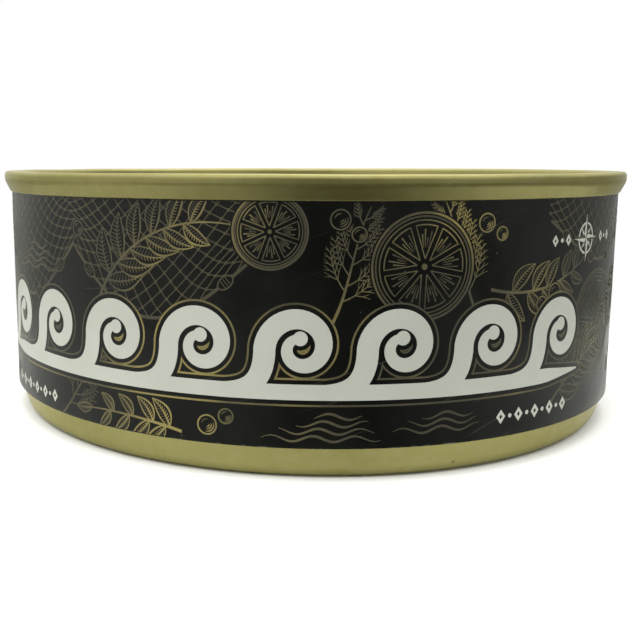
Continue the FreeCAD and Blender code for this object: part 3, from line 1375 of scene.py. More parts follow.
@dataclass(frozen=True)
class WaveFrieze:
    """A running band of scrolling waves, in white with a dark border and a gold keyline.

    Each wave rises from the sea's band by a curve and scrolls round its eye, thickest at its crest.
    The sea and the first wave grow from a thin start.
    """

    start: float = -61.0
    pitch: float = 12.7
    waves: int = 8
    foot: float = 10.7
    band: float = 2.0
    eye: float = 17.25
    reach: float = 4.4
    eye_reach: float = 1.2
    turn: float = 450.0
    thin: float = 1.9
    thick: float = 2.75
    tail: float = 1.0
    border: float = 0.55
    keyline: float = 0.25
    eye_share: float = 0.75
    foot_share: float = 0.80
    foot_handle: float = 3.0
    crest_handle: float = 5.2
    wind_power: float = 1.3
    wane_power: float = 1.1
    eye_radius: float = 0.92
    sea_overrun: float = 1.5
    sea_start: float = 0.12
    sea_growth: tuple[int, int] = (6, 5)
    lead_start: float = 0.15
    lead_growth: float = 0.085
    lead_steps: int = 10
    sea_steps: int = 60
    rise_steps: int = 18
    scroll_steps: int = 54

    def wave(self, number: int) -> tuple[list[complex], list[float]]:
        """Lay out one wave.

        Args:
            number: its place in the row.

        Returns:
            Its middle line from the sea's surface to the eye of the scroll, and its widths.
        """
        centre = complex(self.start + self.pitch * (number + self.eye_share), self.eye)
        foot = complex(centre.real - self.pitch * self.foot_share, self.foot + self.band * 0.5)
        crest_handle = centre + complex(-self.reach, -self.crest_handle)
        crest = centre + self.reach * unit(180)
        rise = curve(foot, foot + self.foot_handle, crest_handle, crest, self.rise_steps)
        scroll = []
        for k in range(self.scroll_steps + 1):
            t = k / self.scroll_steps
            reach = self.eye_reach + (self.reach - self.eye_reach) * (1 - t) ** self.wind_power
            scroll.append(centre + unit(180 - self.turn * t) * reach)
        swell = [
            self.thin + (self.thick - self.thin) * math.sin(math.pi / 2 * k / self.rise_steps)
            for k in range(self.rise_steps)
        ]
        wane = [
            self.thick + (self.tail - self.thick) * (k / self.scroll_steps) ** self.wane_power
            for k in range(self.scroll_steps + 1)
        ]
        return rise[:-1] + scroll, swell + wane

    def layer(self, art: Artwork, ink: Ink, extra: float) -> None:
        """Draw every wave and the sea below them.

        Args:
            art: the artwork that they go on.
            ink: their ink.
            extra: how much wider they get on each side.
        """
        end = self.start + self.pitch * self.waves + self.sea_overrun
        middle = self.foot + self.band / 2
        last = self.sea_steps
        first_growth, last_growth = self.sea_growth
        sea = [complex(self.start + (end - self.start) * k / last, middle) for k in range(last + 1)]
        shares = [
            min(1.0, self.sea_start + k / first_growth, self.sea_start + (last - k) / last_growth)
            for k in range(last + 1)
        ]
        art.stroke(ink, sea, [self.band * share + 2 * extra for share in shares], round_ends=True)
        for number in range(self.waves):
            path, widths = self.wave(number)
            if number == 0:
                for k in range(self.lead_steps):
                    widths[k] = widths[k] * (self.lead_start + self.lead_growth * k)
                art.disc(ink, path[0], widths[0] / 2 + extra)
            art.stroke(ink, path, [w + 2 * extra for w in widths])
            art.disc(ink, path[-1], self.eye_radius + extra, 28)

    def draw(self, art: Artwork) -> None:
        """Draw the keyline, the border and the waves.

        Args:
            art: the artwork that it goes on.
        """
        self.layer(art, Ink.KEYLINE, self.border + self.keyline)
        self.layer(art, Ink.BLACK, self.border)
        self.layer(art, Ink.WHITE, 0.0)


@dataclass(frozen=True)
class Leaf:
    """One engraved bay leaf: its outline, its midrib, and hatching of another ink on each half."""

    base: complex
    angle: float
    length: float
    width: float
    bend: float = 0.12
    fullest: float = 0.85
    fullness: float = 0.9
    outline: tuple[tuple[float, float], ...] = ((0.09, 0.19), (0.10, 0.27))
    hatching: tuple[tuple[Ink, float], ...] = ((Ink.BRONZE, 0.94), (Ink.LEAF, 0.55))
    hatch_widths: tuple[float, float] = (0.17, 0.07)
    rib_taper: tuple[float, float] = (0.25, 0.15)
    steps: int = 12

    def draw(self, art: Artwork) -> None:
        """Draw the leaf over what lies behind it.

        Args:
            art: the artwork that it goes on.
        """
        way = unit(self.angle)
        tip = self.base + way * self.length
        lean = 1j * way * self.length * self.bend
        third = way * self.length / 3
        rib = curve(self.base, self.base + third + lean, tip - third + lean, tip, self.steps)
        halves = []
        for side in (1, -1):
            edge = []
            for k, point in enumerate(rib):
                share = math.sin(math.pi * (k / self.steps) ** self.fullest) ** self.fullness
                edge.append(point + side * 1j * way * self.width / 2 * share)
            halves.append(edge)
        art.strip(Ink.BLACK, *halves)
        for k in range(1, self.steps):
            for half, (ink, share) in zip(halves, self.hatching):
                outer = half[min(k + 1, self.steps)]
                art.stroke(ink, [rib[k], rib[k] + (outer - rib[k]) * share], self.hatch_widths)
        for half, (ends, middle) in zip(halves, self.outline):
            art.stroke(Ink.LEAF, half, swelling(self.steps + 1, ends, middle))
        art.stroke(Ink.GOLD, rib, tapering(self.steps + 1, *self.rib_taper))


@dataclass(frozen=True)
class BaySprig:
    """A curved twig with leaves on both sides and one at its tip."""

    base: complex
    angle: float
    length: float
    pairs: int = 5
    leaf: float = 5.4
    sweep: float = 0.22
    handle: float = 0.3
    shrink: float = 0.35
    leaf_width: float = 0.40
    turns: tuple[float, float] = (48, -44)
    bends: tuple[float, float] = (0.12, -0.12)
    tip_leaf: tuple[float, float, float] = (0.75, 0.3, 0.05)
    twig_taper: tuple[float, float] = (0.42, 0.24)
    steps: int = 24
    bare_steps: int = 3
    leafy_steps: int = 18

    def draw(self, art: Artwork) -> None:
        """Draw the leaves, then the twig.

        Args:
            art: the artwork that it goes on.
        """
        way = unit(self.angle)
        lean = 1j * way * self.length * self.sweep
        tip = self.base + way * self.length
        handle = way * self.length * self.handle
        twig = curve(self.base, self.base + handle + lean, tip - handle + lean, tip, self.steps)
        for k in range(self.pairs):
            at = self.bare_steps + round(self.leafy_steps * k / self.pairs)
            heading = heading_of(twig[at + 1] - twig[at])
            size = self.leaf * (1.0 - self.shrink * k / self.pairs)
            for root, turn, bend in zip((twig[at + 1], twig[at]), self.turns, self.bends):
                Leaf(root, heading + turn, size, size * self.leaf_width, bend).draw(art)
        length, width, bend = self.tip_leaf
        Leaf(tip, heading_of(tip - twig[-2]), self.leaf * length, self.leaf * width, bend).draw(art)
        art.stroke(Ink.GOLD, twig, tapering(self.steps + 1, *self.twig_taper))


@dataclass(frozen=True)
class LemonWheel:
    """A cut slice of lemon, with its rind, its segments and their juice sacs."""

    centre: complex
    radius: float
    segments: int = 9
    turn: float = 8.0
    border: float = 0.35
    rind: tuple[tuple[Ink, float, float], ...] = (
        (Ink.FRUIT, 1.0, 0.28), (Ink.BRONZE, 0.935, 0.22), (Ink.FRUIT, 0.865, 0.15)
    )
    segment_half: float = 0.40
    segment_outer: float = 0.78
    segment_inner: float = 0.15
    segment_line: float = 0.17
    sac_start: float = 0.36
    sac_widths: tuple[float, float] = (0.05, 0.2)
    sacs: tuple[tuple[float, float], ...] = ((-0.55, 0.86), (-0.2, 0.7), (0.15, 0.9), (0.5, 0.78))
    pith: float = 0.06

    def draw(self, art: Artwork) -> None:
        """Draw the slice over what lies behind it.

        Args:
            art: the artwork that it goes on.
        """
        art.disc(Ink.BLACK, self.centre, self.radius + self.border, 40)
        for ink, share, width in self.rind:
            art.ring(ink, self.centre, self.radius * share, width, 64)
        step = 360 / self.segments
        half = step * self.segment_half
        outer, inner = self.radius * self.segment_outer, self.radius * self.segment_inner
        for k in range(self.segments):
            middle = self.turn + step * k
            point = self.centre + inner * unit(middle)
            edge = [point, *arc(self.centre, middle - half, middle + half, outer, 6), point]
            art.stroke(Ink.FRUIT, edge, self.segment_line)
            for lane, share in self.sacs:
                way = unit(middle + half * lane)
                sac = [self.centre + self.radius * self.sac_start * way, self.centre + outer * share * way]
                art.stroke(Ink.BRONZE if lane < 0 else Ink.FRUIT, sac, self.sac_widths)
        art.disc(Ink.FRUIT, self.centre, self.radius * self.pith, 10)


@dataclass(frozen=True)
class DillFrond:
    """A feathery frond: a stem, branches in turn on each side, and forked threads on each branch."""

    base: complex
    angle: float
    length: float
    branches: int = 11
    sweep: float = 0.18
    ink: Ink = Ink.HERB
    fork_at: float = 0.45
    fork_turn: float = 24
    fork_length: float = 0.42
    fork_widths: tuple[float, float] = (0.11, 0.05)
    thread_turn: float = 9
    thread_widths: tuple[float, float, float] = (0.13, 0.12, 0.06)
    thread_spread: float = 36
    thread_length: float = 0.42
    thread_shrink: float = 0.045
    branch_turn: float = 50
    branch_bend: float = 5.5
    branch_length: float = 0.36
    branch_shrink: float = 0.6
    branch_taper: tuple[float, float] = (0.19, 0.02)
    branch_steps: int = 6
    stem_handles: tuple[float, float] = (0.35, 0.3)
    stem_taper: tuple[float, float] = (0.40, 0.28)
    steps: int = 24
    bare_steps: int = 5
    leafy_steps: int = 18

    def thread(self, art: Artwork, root: complex, heading: float, length: float) -> None:
        """Draw one thread that forks near its middle and bends forwards.

        Args:
            art: the artwork that it goes on.
            root: where it starts.
            heading: its direction in degrees.
            length: its length.
        """
        fork = root + unit(heading) * length * self.fork_at
        tip = fork + unit(heading - self.thread_turn) * length * (1 - self.fork_at)
        side_tip = fork + unit(heading + self.fork_turn) * length * self.fork_length
        art.stroke(self.ink, [root, fork, tip], self.thread_widths)
        art.stroke(self.ink, [fork, side_tip], self.fork_widths)

    def branch(self, art: Artwork, root: complex, heading: float, side: int, size: float) -> None:
        """Draw one branch with its threads.

        Args:
            art: the artwork that it goes on.
            root: where it starts.
            heading: the stem's direction there, in degrees.
            side: 1 for the left of the stem, -1 for the right.
            size: its length.
        """
        path = [root]
        for k in range(self.branch_steps):
            way = heading + side * (self.branch_turn - self.branch_bend * k)
            path.append(path[-1] + unit(way) * size / self.branch_steps)
            reach = size * (self.thread_length - self.thread_shrink * k)
            for turn in (self.thread_spread, -self.thread_spread) if k else ():
                self.thread(art, path[-1], way + turn, reach)
        width, loss = self.branch_taper
        art.stroke(self.ink, path, [width - loss * k for k in range(self.branch_steps + 1)])

    def draw(self, art: Artwork) -> None:
        """Draw the frond.

        Args:
            art: the artwork that it goes on.
        """
        way = unit(self.angle)
        lean = 1j * way * self.length * self.sweep
        tip = self.base + way * self.length + lean
        low, high = (way * self.length * share for share in self.stem_handles)
        stem = curve(self.base, self.base + low, tip - high, tip, self.steps)
        for k in range(self.branches):
            at = self.bare_steps + round(self.leafy_steps * k / self.branches)
            heading = heading_of(stem[at + 1] - stem[at])
            size = self.length * self.branch_length * (1 - self.branch_shrink * k / self.branches)
            self.branch(art, stem[at], heading, 1 if k % 2 else -1, size)
        art.stroke(self.ink, stem, tapering(self.steps + 1, *self.stem_taper))


@dataclass(frozen=True)
class DrapedNet:
    """A fishing net hung along a line, with knots where its cords cross and corks on its lower rope."""

    left: float
    right: float
    top: float
    depth: float
    cell: float = 2.3
    swags: int = 2
    least_drop: float = 0.45
    slope: float = 1.2
    sway: float = 0.012
    sway_waves: tuple[float, float] = (5, 7)
    cord: float = 0.15
    knot_radius: float = 0.25
    rope: float = 0.42
    cork_half_length: float = 1.15
    cork_half_width: float = 0.72
    cork_line: float = 0.2
    cork_sides: int = 14
    cork_grain: tuple[float, ...] = (-0.4, 0.0, 0.4)
    cork_grain_line: float = 0.12
    first_cork: int = 3
    cork_pitch: int = 6

    def columns(self) -> int:
        """How many steps of the net lie between its left and right ends."""
        return round((self.right - self.left) / self.cell) * 2

    def rows(self) -> int:
        """How many steps of the net lie between its top and its lower rope."""
        return round(self.depth / self.cell) * 2

    def knot(self, i: int, j: int) -> complex:
        """Where one knot of the net lies.

        Args:
            i: its column.
            j: its row, counted downwards.

        Returns:
            Its place.
        """
        u, v = i / self.columns(), j / self.rows()
        sag = abs(math.sin(math.pi * self.swags * u))
        wave_u, wave_v = self.sway_waves
        along = self.left + (self.right - self.left) * (u + self.sway * math.sin(wave_v * v + wave_u * u))
        drop = v * self.depth * (self.least_drop + (1 - self.least_drop) * sag)
        return complex(along, self.top - drop - self.slope * v * u)

    def draw_cork(self, art: Artwork, place: complex, way: complex) -> None:
        """Draw one cork over the lower rope.

        Args:
            art: the artwork that it goes on.
            place: its middle.
            way: the rope's direction there.
        """
        outline = []
        for k in range(self.cork_sides):
            t = math.tau * k / self.cork_sides
            ahead = way * self.cork_half_length * math.cos(t)
            outline.append(place + ahead + 1j * way * self.cork_half_width * math.sin(t))
        art.patch(Ink.BLACK, outline)
        art.stroke(Ink.NET, [*outline, outline[0]], self.cork_line)
        for shift in self.cork_grain:
            line = [place + way * shift - 0.5j * way, place + way * shift + 0.5j * way]
            art.stroke(Ink.NET, line, self.cork_grain_line)

    def draw(self, art: Artwork) -> None:
        """Draw the cords, the knots and the lower rope.

        Args:
            art: the artwork that it goes on.
        """
        columns, rows = self.columns(), self.rows()
        for i in range(columns):
            for j in range(rows):
                odd = (i + j) % 2
                art.stroke(Ink.NET, [self.knot(i, j + odd), self.knot(i + 1, j + 1 - odd)], self.cord)
        for i in range(columns + 1):
            for j in range(i % 2, rows + 1, 2):
                art.disc(Ink.NET, self.knot(i, j), self.knot_radius, 5)
        rope = [self.knot(i, rows) for i in range(columns + 1)]
        art.stroke(Ink.NET, rope, self.rope)
        for i in range(self.first_cork, columns, self.cork_pitch):
            heading = rope[i + 1] - rope[i - 1]
            self.draw_cork(art, rope[i], heading / abs(heading))


@dataclass(frozen=True)
class WaterLines:
    """A few engraved ripples, one above the other, each shorter than the last."""

    centre: complex
    width: float
    lines: int = 4
    gap: float = 1.0
    ink: Ink = Ink.GOLD
    shrink: float = 0.2
    shift: float = 0.7
    swell: float = 0.38
    wave_length: float = 2.6
    phase: float = 0.3
    widths: tuple[float, float] = (0.06, 0.34)
    points: int = 25

    def draw(self, art: Artwork) -> None:
        """Draw the ripples.

        Args:
            art: the artwork that it goes on.
        """
        for k in range(self.lines):
            half = self.width / 2 * (1 - self.shrink * k)
            path = []
            for n in range(self.points):
                t = n / (self.points - 1)
                turn = 2 * math.pi * (t * half / self.wave_length + self.phase * k)
                up = k * self.gap + self.swell * math.sin(turn)
                path.append(self.centre + complex(half * (2 * t - 1) + self.shift * k, up))
            art.stroke(self.ink, path, swelling(self.points, *self.widths))


@dataclass(frozen=True)
class Peppercorns:
    """Loose peppercorns with a wrinkled, shaded side."""

    places: tuple[tuple[float, float, float], ...]
    border: float = 0.25
    outline: float = 0.2
    wrinkles: tuple[float, ...] = (0.72, 0.46, 0.22)
    wrinkle_arc: tuple[float, float] = (-100, 20)
    shade: float = 0.6
    shade_arc: tuple[float, float] = (80, 170)
    widths: tuple[float, float] = (0.05, 0.2)

    def draw(self, art: Artwork) -> None:
        """Draw each peppercorn over what lies behind it.

        Args:
            art: the artwork that it goes on.
        """
        for along, up, radius in self.places:
            centre = complex(along, up)
            art.disc(Ink.BLACK, centre, radius + self.border, 24)
            art.ring(Ink.FRUIT, centre, radius, self.outline, 28)
            for share in self.wrinkles:
                wrinkle = arc(centre, *self.wrinkle_arc, radius * share, 7)
                art.stroke(Ink.FRUIT, wrinkle, swelling(8, *self.widths))
            shade = arc(centre, *self.shade_arc, radius * self.shade, 6)
            art.stroke(Ink.BRONZE, shade, swelling(7, *self.widths))


@dataclass(frozen=True)
class CompassStar:
    """An eight pointed star in a ring, with half of each point dark."""

    centre: complex
    radius: float
    ring: float = 0.62
    ring_width: float = 0.26
    hub: float = 0.40
    points: tuple[tuple[float, float, float], ...] = ((45.0, 0.62, 0.20), (0.0, 1.0, 0.24))

    def draw(self, art: Artwork) -> None:
        """Draw the ring, then the short points, then the long ones.

        Args:
            art: the artwork that it goes on.
        """
        art.ring(Ink.WHITE, self.centre, self.radius * self.ring, self.ring_width, 32)
        art.disc(Ink.BLACK, self.centre, self.radius * self.hub, 20)
        for turn, reach, waist in self.points:
            for k in range(4):
                point = turn + 90 * k
                tip = self.centre + self.radius * reach * unit(point)
                for side, ink in ((1, Ink.WHITE), (-1, Ink.GOLD)):
                    hip = self.centre + self.radius * waist * unit(point + side * 45)
                    art.patch(ink, [self.centre, hip, tip])


@dataclass(frozen=True)
class LozengeRow:
    """A row of small white lozenges with dots between them."""

    start: complex
    count: int
    pitch: float = 3.1
    size: float = 0.95
    lozenges: tuple[tuple[Ink, float, float], ...] = ((Ink.WHITE, 0.8, 1.0), (Ink.BLACK, 0.28, 0.36))
    dot: float = 0.30

    def draw(self, art: Artwork) -> None:
        """Draw the row from left to right.

        Args:
            art: the artwork that it goes on.
        """
        for k in range(self.count):
            at = self.start + self.pitch * k
            for ink, wide, tall in self.lozenges:
                side, rise = self.size * wide, 1j * self.size * tall
                art.patch(ink, [at - side, at - rise, at + side, at + rise])
            if k < self.count - 1:
                art.disc(Ink.WHITE, at + self.pitch / 2, self.dot, 10)


@dataclass(frozen=True)
class PaperSleeve:
    """The black paper sleeve and all that is printed on its two like faces.

    The lap's direction is in degrees from the tin's right towards its back. The ramp is the length
    over which the sleeve's end rides up on its start. The print keeps a trim clear at both edges.
    """

    metal: TinMetal
    thickness: float = 0.12
    ripple: float = 0.05
    ink_thickness: float = 0.02
    lap: float = 9.0
    lap_direction: float = 8.0
    ramp: float = 1.6
    faces: int = 2
    trim: float = 0.12
    columns: int = 420
    rows: int = 26

    def wrap_radius(self) -> float:
        """The radius at which lengths along the sleeve are true."""
        return self.metal.wall_radius + self.thickness

    def sizes(self) -> dict[str, float]:
        """The tree inputs that the sheet and the inks share.

        Returns:
            Their values in metres, by name.
        """
        return {
            "Wall Radius": self.metal.wall_radius * MM,
            "Wrap Radius": self.wrap_radius() * MM,
            "Ripple": self.ripple * MM,
        }

    @staticmethod
    def motifs() -> list[Motif]:
        """What is drawn on one face.

        Returns:
            The motifs, from the back to the front.
        """
        return [
            DrapedNet(-62, -6, 36.5, 15.5),
            DrapedNet(34, 62, 36.5, 9.5, swags=1),
            WaterLines(complex(-46, 25.0), 17, 4),
            DillFrond(complex(-38, 4.4), 38, 14, ink=Ink.BRONZE),
            DillFrond(complex(3, 20), 62, 15),
            BaySprig(complex(-29, 22), 28, 22, 6, 6.2),
            DillFrond(complex(22, 21), 118, 15, sweep=-0.15),
            LemonWheel(complex(14.5, 27.2), 6.6),
            BaySprig(complex(24, 24), 12, 21, 5, 5.2, -0.15),
            LemonWheel(complex(-4.5, 31.5), 4.6, 8, 3.0),
            LemonWheel(complex(48, 17.5), 7.4, 10),
            BaySprig(complex(36, 7.8), 24, 20, 5, 5.6, 0.1),
            BaySprig(complex(61, 25), 215, 15, 4, 5.0, 0.1),
            BaySprig(complex(-16, 5.6), 176, 15, 4, 4.4, -0.05),
            WaterLines(complex(2, 5.8), 15, 4, 0.95),
            WaterLines(complex(17, 6.6), 12, 3, 0.9, Ink.BRONZE),
            Peppercorns((
                (4.0, 33.0, 1.2), (6.3, 31.2, 0.9), (-12.5, 6.9, 1.25), (-10.0, 8.2, 0.95),
                (23.0, 32.4, 1.15), (25.4, 31.0, 0.85), (33.0, 21.5, 1.0), (35.6, 22.8, 1.25),
                (58.0, 9.5, 1.2), (60.6, 11.6, 0.95), (-58.0, 7.2, 1.1), (-33.0, 31.0, 1.0),
            )),
            WaveFrieze(),
            CompassStar(complex(43.0, 29.6), 3.3),
            LozengeRow(complex(35.2, 29.6), 2, 3.0, 0.8),
            LozengeRow(complex(48.2, 29.6), 2, 3.0, 0.8),
            LozengeRow(complex(26.5, 7.2), 5),
            LozengeRow(complex(-55.5, 6.6), 6),
        ]

    def sheet(self, trees: Trees, finish: bpy.types.Material) -> bpy.types.Object:
        """Make the sleeve itself, between the levels of the frame's label.

        Args:
            trees: the geometry trees.
            finish: the sleeve's material.

        Returns:
            The piece.
        """
        low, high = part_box("label")
        middle = math.radians(90 + self.lap_direction) * self.wrap_radius()
        piece = grow("label_sheet", trees.sheet, {
            **self.sizes(),
            "Thickness": self.thickness * MM,
            "Bottom": low.z,
            "Top": high.z,
            "Start": (middle - self.lap / 2) * MM,
            "Lap": self.lap * MM,
            "Ramp": self.ramp * MM,
            "Columns": self.columns,
            "Rows": self.rows,
            "Finish": finish,
        })
        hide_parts("label")
        return piece

    def print_films(self, trees: Trees, finishes: dict[Ink, bpy.types.Material]) -> list[bpy.types.Object]:
        """Make one film for each ink.

        Args:
            trees: the geometry trees.
            finishes: the inks' materials.

        Returns:
            The films, each named after its ink.
        """
        low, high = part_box("label")
        art = Artwork(low.z / MM + self.trim, high.z / MM - self.trim)
        for motif in self.motifs():
            motif.draw(art)
        pieces = []
        for ink, (flat, triangles) in art.films().items():
            points = [(p.real * MM, self.thickness * MM, p.imag * MM) for p in flat]
            mesh = plain_mesh(ink.value, points, faces=triangles.tolist())
            pieces.append(grow(ink.value, trees.film, {
                **self.sizes(),
                "Thickness": self.ink_thickness * MM,
                "Copies": self.faces,
                "Finish": finishes[Ink(ink.slot())],
            }, mesh))
        return pieces

    def build(self, trees: Trees, finishes: dict[Ink, bpy.types.Material]) -> list[bpy.types.Object]:
        """Make the sleeve and its print, and tie them to the frame.

        Args:
            trees: the geometry trees.
            finishes: the materials of the sleeve and of the inks.

        Returns:
            The sleeve and its films.
        """
        sheet = self.sheet(trees, finishes[Ink.BLACK])
        films = self.print_films(trees, finishes)
        for film in films:
            Ink(film.name).slot()
        for piece in (sheet, *films):
            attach(piece, BODY)
        return [sheet, *films]


# -------------------------------------------------------------------- studio


@dataclass(frozen=True)
class Lamp:
    """One soft lamp, aimed at the tin."""

    name: str
    place: tuple[float, float, float]
    size: float
    watts: float
    mirrored: bool = True
    aim: tuple[float, float, float] = (0.0, 0.0, 0.02)

    def build(self) -> None:
        """Make the lamp; one that isn't mirrored lights the tin but leaves no glint on it."""
        data = bpy.data.lights.new(self.name, "AREA")
        data.shape = "DISK"
        data.size = self.size
        data.energy = self.watts
        lamp = bpy.data.objects.new(self.name, data)
        lamp.location = self.place
        lamp.rotation_euler = (Vector(self.aim) - Vector(self.place)).to_track_quat("-Z", "Y").to_euler()
        lamp.visible_glossy = self.mirrored
        bpy.context.scene.collection.objects.link(lamp)


Ring = tuple[tuple[float, float], ...]


@dataclass(frozen=True)
class Studio:
    """The floor, the light and the camera, in metres.

    A ring gives a grey at each direction round the tin, in degrees from its front towards its right.
    A pair of two lengths or heights says where a change starts and where it ends.
    """

    floor_rings: tuple[float, ...] = (0.0, 0.03, 0.045, 0.06, 0.08, 0.10, 0.13)
    floor_sides: int = 64
    floor_fade: tuple[float, float] = (0.054, 0.1261)
    floor_colour: Colour = (0.93, 0.93, 0.925)
    # Painted light: the grey of the floor in a band round the tin's foot, as reflections and bounce light see
    # it.
    foot_light: float = 0.80
    foot_reach: tuple[float, float] = (0.054, 0.062)
    tint: Colour = (0.98, 1.0, 0.93)
    ceiling: float = 1.6
    ceiling_heights: tuple[float, float] = (0.30, 0.80)
    horizon_heights: tuple[float, float] = (-0.07, 0.02)
    rear_light: float = 0.6
    rear_depths: tuple[float, float] = (0.0, 0.4)
    rear_heights: tuple[float, float] = (0.1, 0.4)
    # Painted shade on the floor, as reflections and bounce light see it, by direction round the tin: darkest
    # in front, paler at the sides and back.
    table: Ring = (
        (-180, 0.50), (-60, 0.48), (-46, 0.50), (-31, 0.31), (-15, 0.27), (0, 0.07), (15, 0.06), (32, 0.22),
        (54, 0.42), (70, 0.50), (180, 0.50),
    )
    ground: Ring = (
        (-180, 0.6), (-104, 0.5), (-80, 0.7), (-55, 0.34), (-26, 0.30), (0, 0.08), (27, 0.04), (56, 0.08),
        (94, 0.32), (121, 0.35), (180, 0.6),
    )
    walls: Ring = (
        (-180, 0.85), (-104, 0.87), (-80, 0.9), (-55, 1.0), (-26, 0.92), (0, 0.2), (10, 0.3), (27, 0.62),
        (56, 0.88), (94, 0.5), (121, 0.4), (180, 0.85),
    )
    camera_place: tuple[float, float, float] = (0.0, -0.156882, 0.039765)
    lens: float = 50.017
    sensor: float = 36.0
    clip_start: float = 0.01
    pitch: float = 0.1537
    yaw: float = -0.0753
    roll: float = 0.0006
    shift: tuple[float, float] = (0.125, -0.03125)
    lamps: tuple[Lamp, ...] = (
        Lamp("key_softbox", (-0.08, -0.26, 0.42), 0.34, 1.1, mirrored=False),
        Lamp("top_softbox", (0.06, 0.22, 0.55), 0.5, 0.8),
    )

    def around(self, wiring: Wiring, x: Value, y: Value, ring: Ring) -> Value:
        """The grey of a ring in the direction (x, y).

        Args:
            wiring: the wiring of the tree.
            x: how far the direction goes to the tin's right.
            y: how far it goes to the back.
            ring: the ring.

        Returns:
            The grey, a little tinted.
        """
        turn = wiring.math("ARCTAN2", x, y * -1.0)
        share = wiring.math("MULTIPLY_ADD", turn, 0.5 / math.pi, 0.5)
        node = wiring.add("ShaderNodeValToRGB", {0: share})
        stops = node.color_ramp.elements
        for stop in list(stops)[1:]:
            stops.remove(stop)
        for k, (degrees, grey) in enumerate(ring):
            place = degrees / 360 + 0.5
            stop = stops[0] if k == 0 else stops.new(place)
            stop.position = place
            stop.color = (*(grey * c for c in self.tint), 1)
        return Value(wiring, node.outputs[0])

    def floor_mesh(self) -> bpy.types.Mesh:
        """Make the floor's disc out of rings of faces.

        Returns:
            The mesh.
        """
        count = self.floor_sides
        points = [(0.0, 0.0, 0.0)]
        faces = []
        for k, radius in enumerate(self.floor_rings[1:]):
            for n in range(count):
                turn = math.tau * n / count
                points.append((radius * math.cos(turn), radius * math.sin(turn), 0.0))
                a, b = 1 + k * count + n, 1 + k * count + (n + 1) % count
                faces.append((0, a, b) if k == 0 else (a - count, a, b, b - count))
        return plain_mesh("floor", points, faces=faces)

    def floor(self) -> None:
        """Lay a pale floor that fades into the backdrop; what it mirrors into the tin, and the light it
        bounces, is painted shade: darkest in front of the tin, paler at its sides and in a band round its
        foot.
        """
        floor = bpy.data.objects.new("floor", self.floor_mesh())
        bpy.context.scene.collection.objects.link(floor)
        material = bpy.data.materials.new("floor_card")
        material.use_nodes = True
        material.node_tree.nodes.clear()
        wiring = Wiring(material.node_tree)
        x, y, _ = wiring.separate(wiring.value("ShaderNodeTexCoord", output="Object"))
        radius = wiring.distance(x, y)
        # For every ray but the camera's the floor's colour is painted shade: a paler band round the tin's
        # foot, then a ring of greys darkest in front of the tin.
        near = wiring.ramp(radius, *self.foot_reach, 1.0, 0.0)
        foot = tuple(self.foot_light * c for c in self.tint)
        mirrored = wiring.mix(near, self.around(wiring, x, y, self.table), foot)
        seen = wiring.value("ShaderNodeLightPath", output="Is Camera Ray")
        colour = wiring.mix(seen, mirrored, self.floor_colour)
        card = wiring.value("ShaderNodeBsdfDiffuse", {"Color": colour})
        clear = wiring.value("ShaderNodeBsdfTransparent")
        fade = wiring.ramp(radius, *self.floor_fade) * seen
        mixed = wiring.value("ShaderNodeMixShader", {0: fade, 1: card, 2: clear})
        wiring.add("ShaderNodeOutputMaterial", {"Surface": mixed})
        floor.data.materials.append(material)

    def light(self) -> None:
        """Light the tin from a pale room that is dimmer in front, and with soft lamps."""
        world = bpy.data.worlds.new("pale_room")
        world.use_nodes = True
        world.node_tree.nodes.clear()
        wiring = Wiring(world.node_tree)
        x, y, z = wiring.separate(wiring.value("ShaderNodeTexCoord", output="Generated"))
        above = wiring.ramp(z, *self.horizon_heights)
        ground = self.around(wiring, x, y, self.ground)
        room = wiring.mix(above, ground, self.around(wiring, x, y, self.walls))
        overhead = wiring.ramp(z, *self.ceiling_heights)
        behind = wiring.ramp(y, *self.rear_depths) * wiring.ramp(z, *self.rear_heights)
        panel = wiring.math("MAXIMUM", overhead, behind * self.rear_light)
        room = wiring.mix(panel, room, (self.ceiling, self.ceiling, self.ceiling))
        seen = wiring.value("ShaderNodeLightPath", output="Is Camera Ray")
        colour = wiring.mix(seen, room, (1.0, 1.0, 1.0))
        background = wiring.value("ShaderNodeBackground", {"Color": colour, "Strength": 1.0})
        wiring.add("ShaderNodeOutputWorld", {"Surface": background})
        bpy.context.scene.world = world
        for lamp in self.lamps:
            lamp.build()

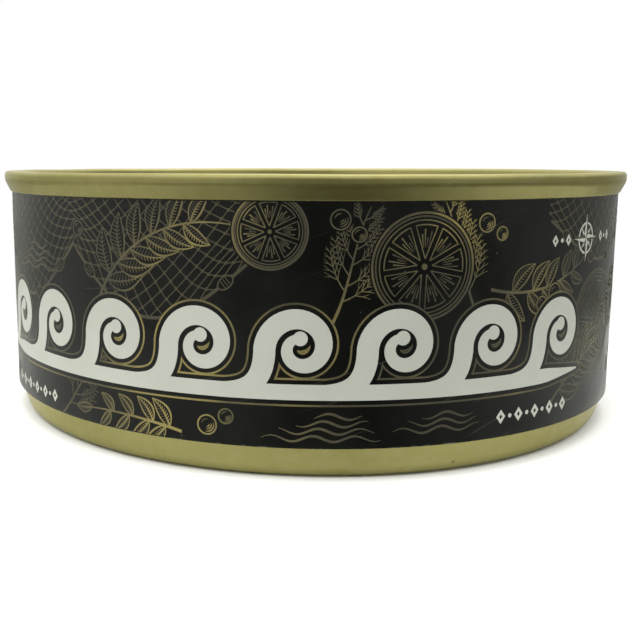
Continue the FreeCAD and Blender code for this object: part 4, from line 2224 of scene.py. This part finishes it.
    def camera(self) -> None:
        """Place the camera."""
        data = bpy.data.cameras.new("camera")
        data.lens = self.lens
        data.sensor_width = self.sensor
        data.shift_x, data.shift_y = self.shift
        data.clip_start = self.clip_start
        camera = bpy.data.objects.new("camera", data)
        level = Vector((math.sin(self.yaw), math.cos(self.yaw), 0))
        side = Vector((math.cos(self.yaw), -math.sin(self.yaw), 0))
        upright = Vector((0, 0, 1))
        forward = level * math.cos(self.pitch) - upright * math.sin(self.pitch)
        up = upright * math.cos(self.pitch) + level * math.sin(self.pitch)
        turned_side = side * math.cos(self.roll) + up * math.sin(self.roll)
        turned_up = up * math.cos(self.roll) - side * math.sin(self.roll)
        turned = Matrix((turned_side, turned_up, -forward)).transposed().to_4x4()
        camera.matrix_world = Matrix.Translation(self.camera_place) @ turned
        bpy.context.scene.collection.objects.link(camera)
        bpy.context.scene.camera = camera

    def build(self) -> None:
        """Make the whole studio."""
        self.floor()
        self.light()
        self.camera()
        bpy.context.scene.view_settings.view_transform = "Standard"


def report(pieces: Iterable[bpy.types.Object]) -> None:
    """Log each piece's size in triangles and its material.

    Args:
        pieces: the pieces.
    """
    for piece in pieces:
        piece.data.calc_loop_triangles()
        count, finish = len(piece.data.loop_triangles), piece.active_material.name
        LOG.info("%s: %d triangles, material %s", piece.name, count, finish)


def main() -> None:
    """Load the frame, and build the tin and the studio."""
    logging.basicConfig(level=logging.INFO, format="%(name)s: %(message)s", force=True)
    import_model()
    effects = Effects()
    trees = Trees()
    lacquer = GoldLacquer().material(effects)
    inks = {
        Ink.BLACK: SleevePaper(),
        Ink.WHITE: PrintedInk(
            Ink.WHITE.value, (0.60, 0.61, 0.55), (0.53, 0.535, 0.47), pinhole=(0.30, 0.30, 0.25)
        ),
        Ink.GOLD: PrintedInk(
            Ink.GOLD.value, (0.40, 0.325, 0.115), (0.085, 0.077, 0.052),
            broad_clouds=Clouds(42.0, 1.0, 0.30, 0.58), metallic=0.25,
        ),
        Ink.BRONZE: PrintedInk(
            Ink.BRONZE.value, (0.085, 0.072, 0.042), (0.042, 0.038, 0.028), broad_clouds=Clouds(60.0, 0.6)
        ),
    }
    finishes = {ink: finish.material(effects) for ink, finish in inks.items()}
    metal = TinMetal()
    report(metal.build(trees, lacquer))
    report(PaperSleeve(metal).build(trees, finishes))
    Studio().build()


if __name__ == "__main__":
    main()
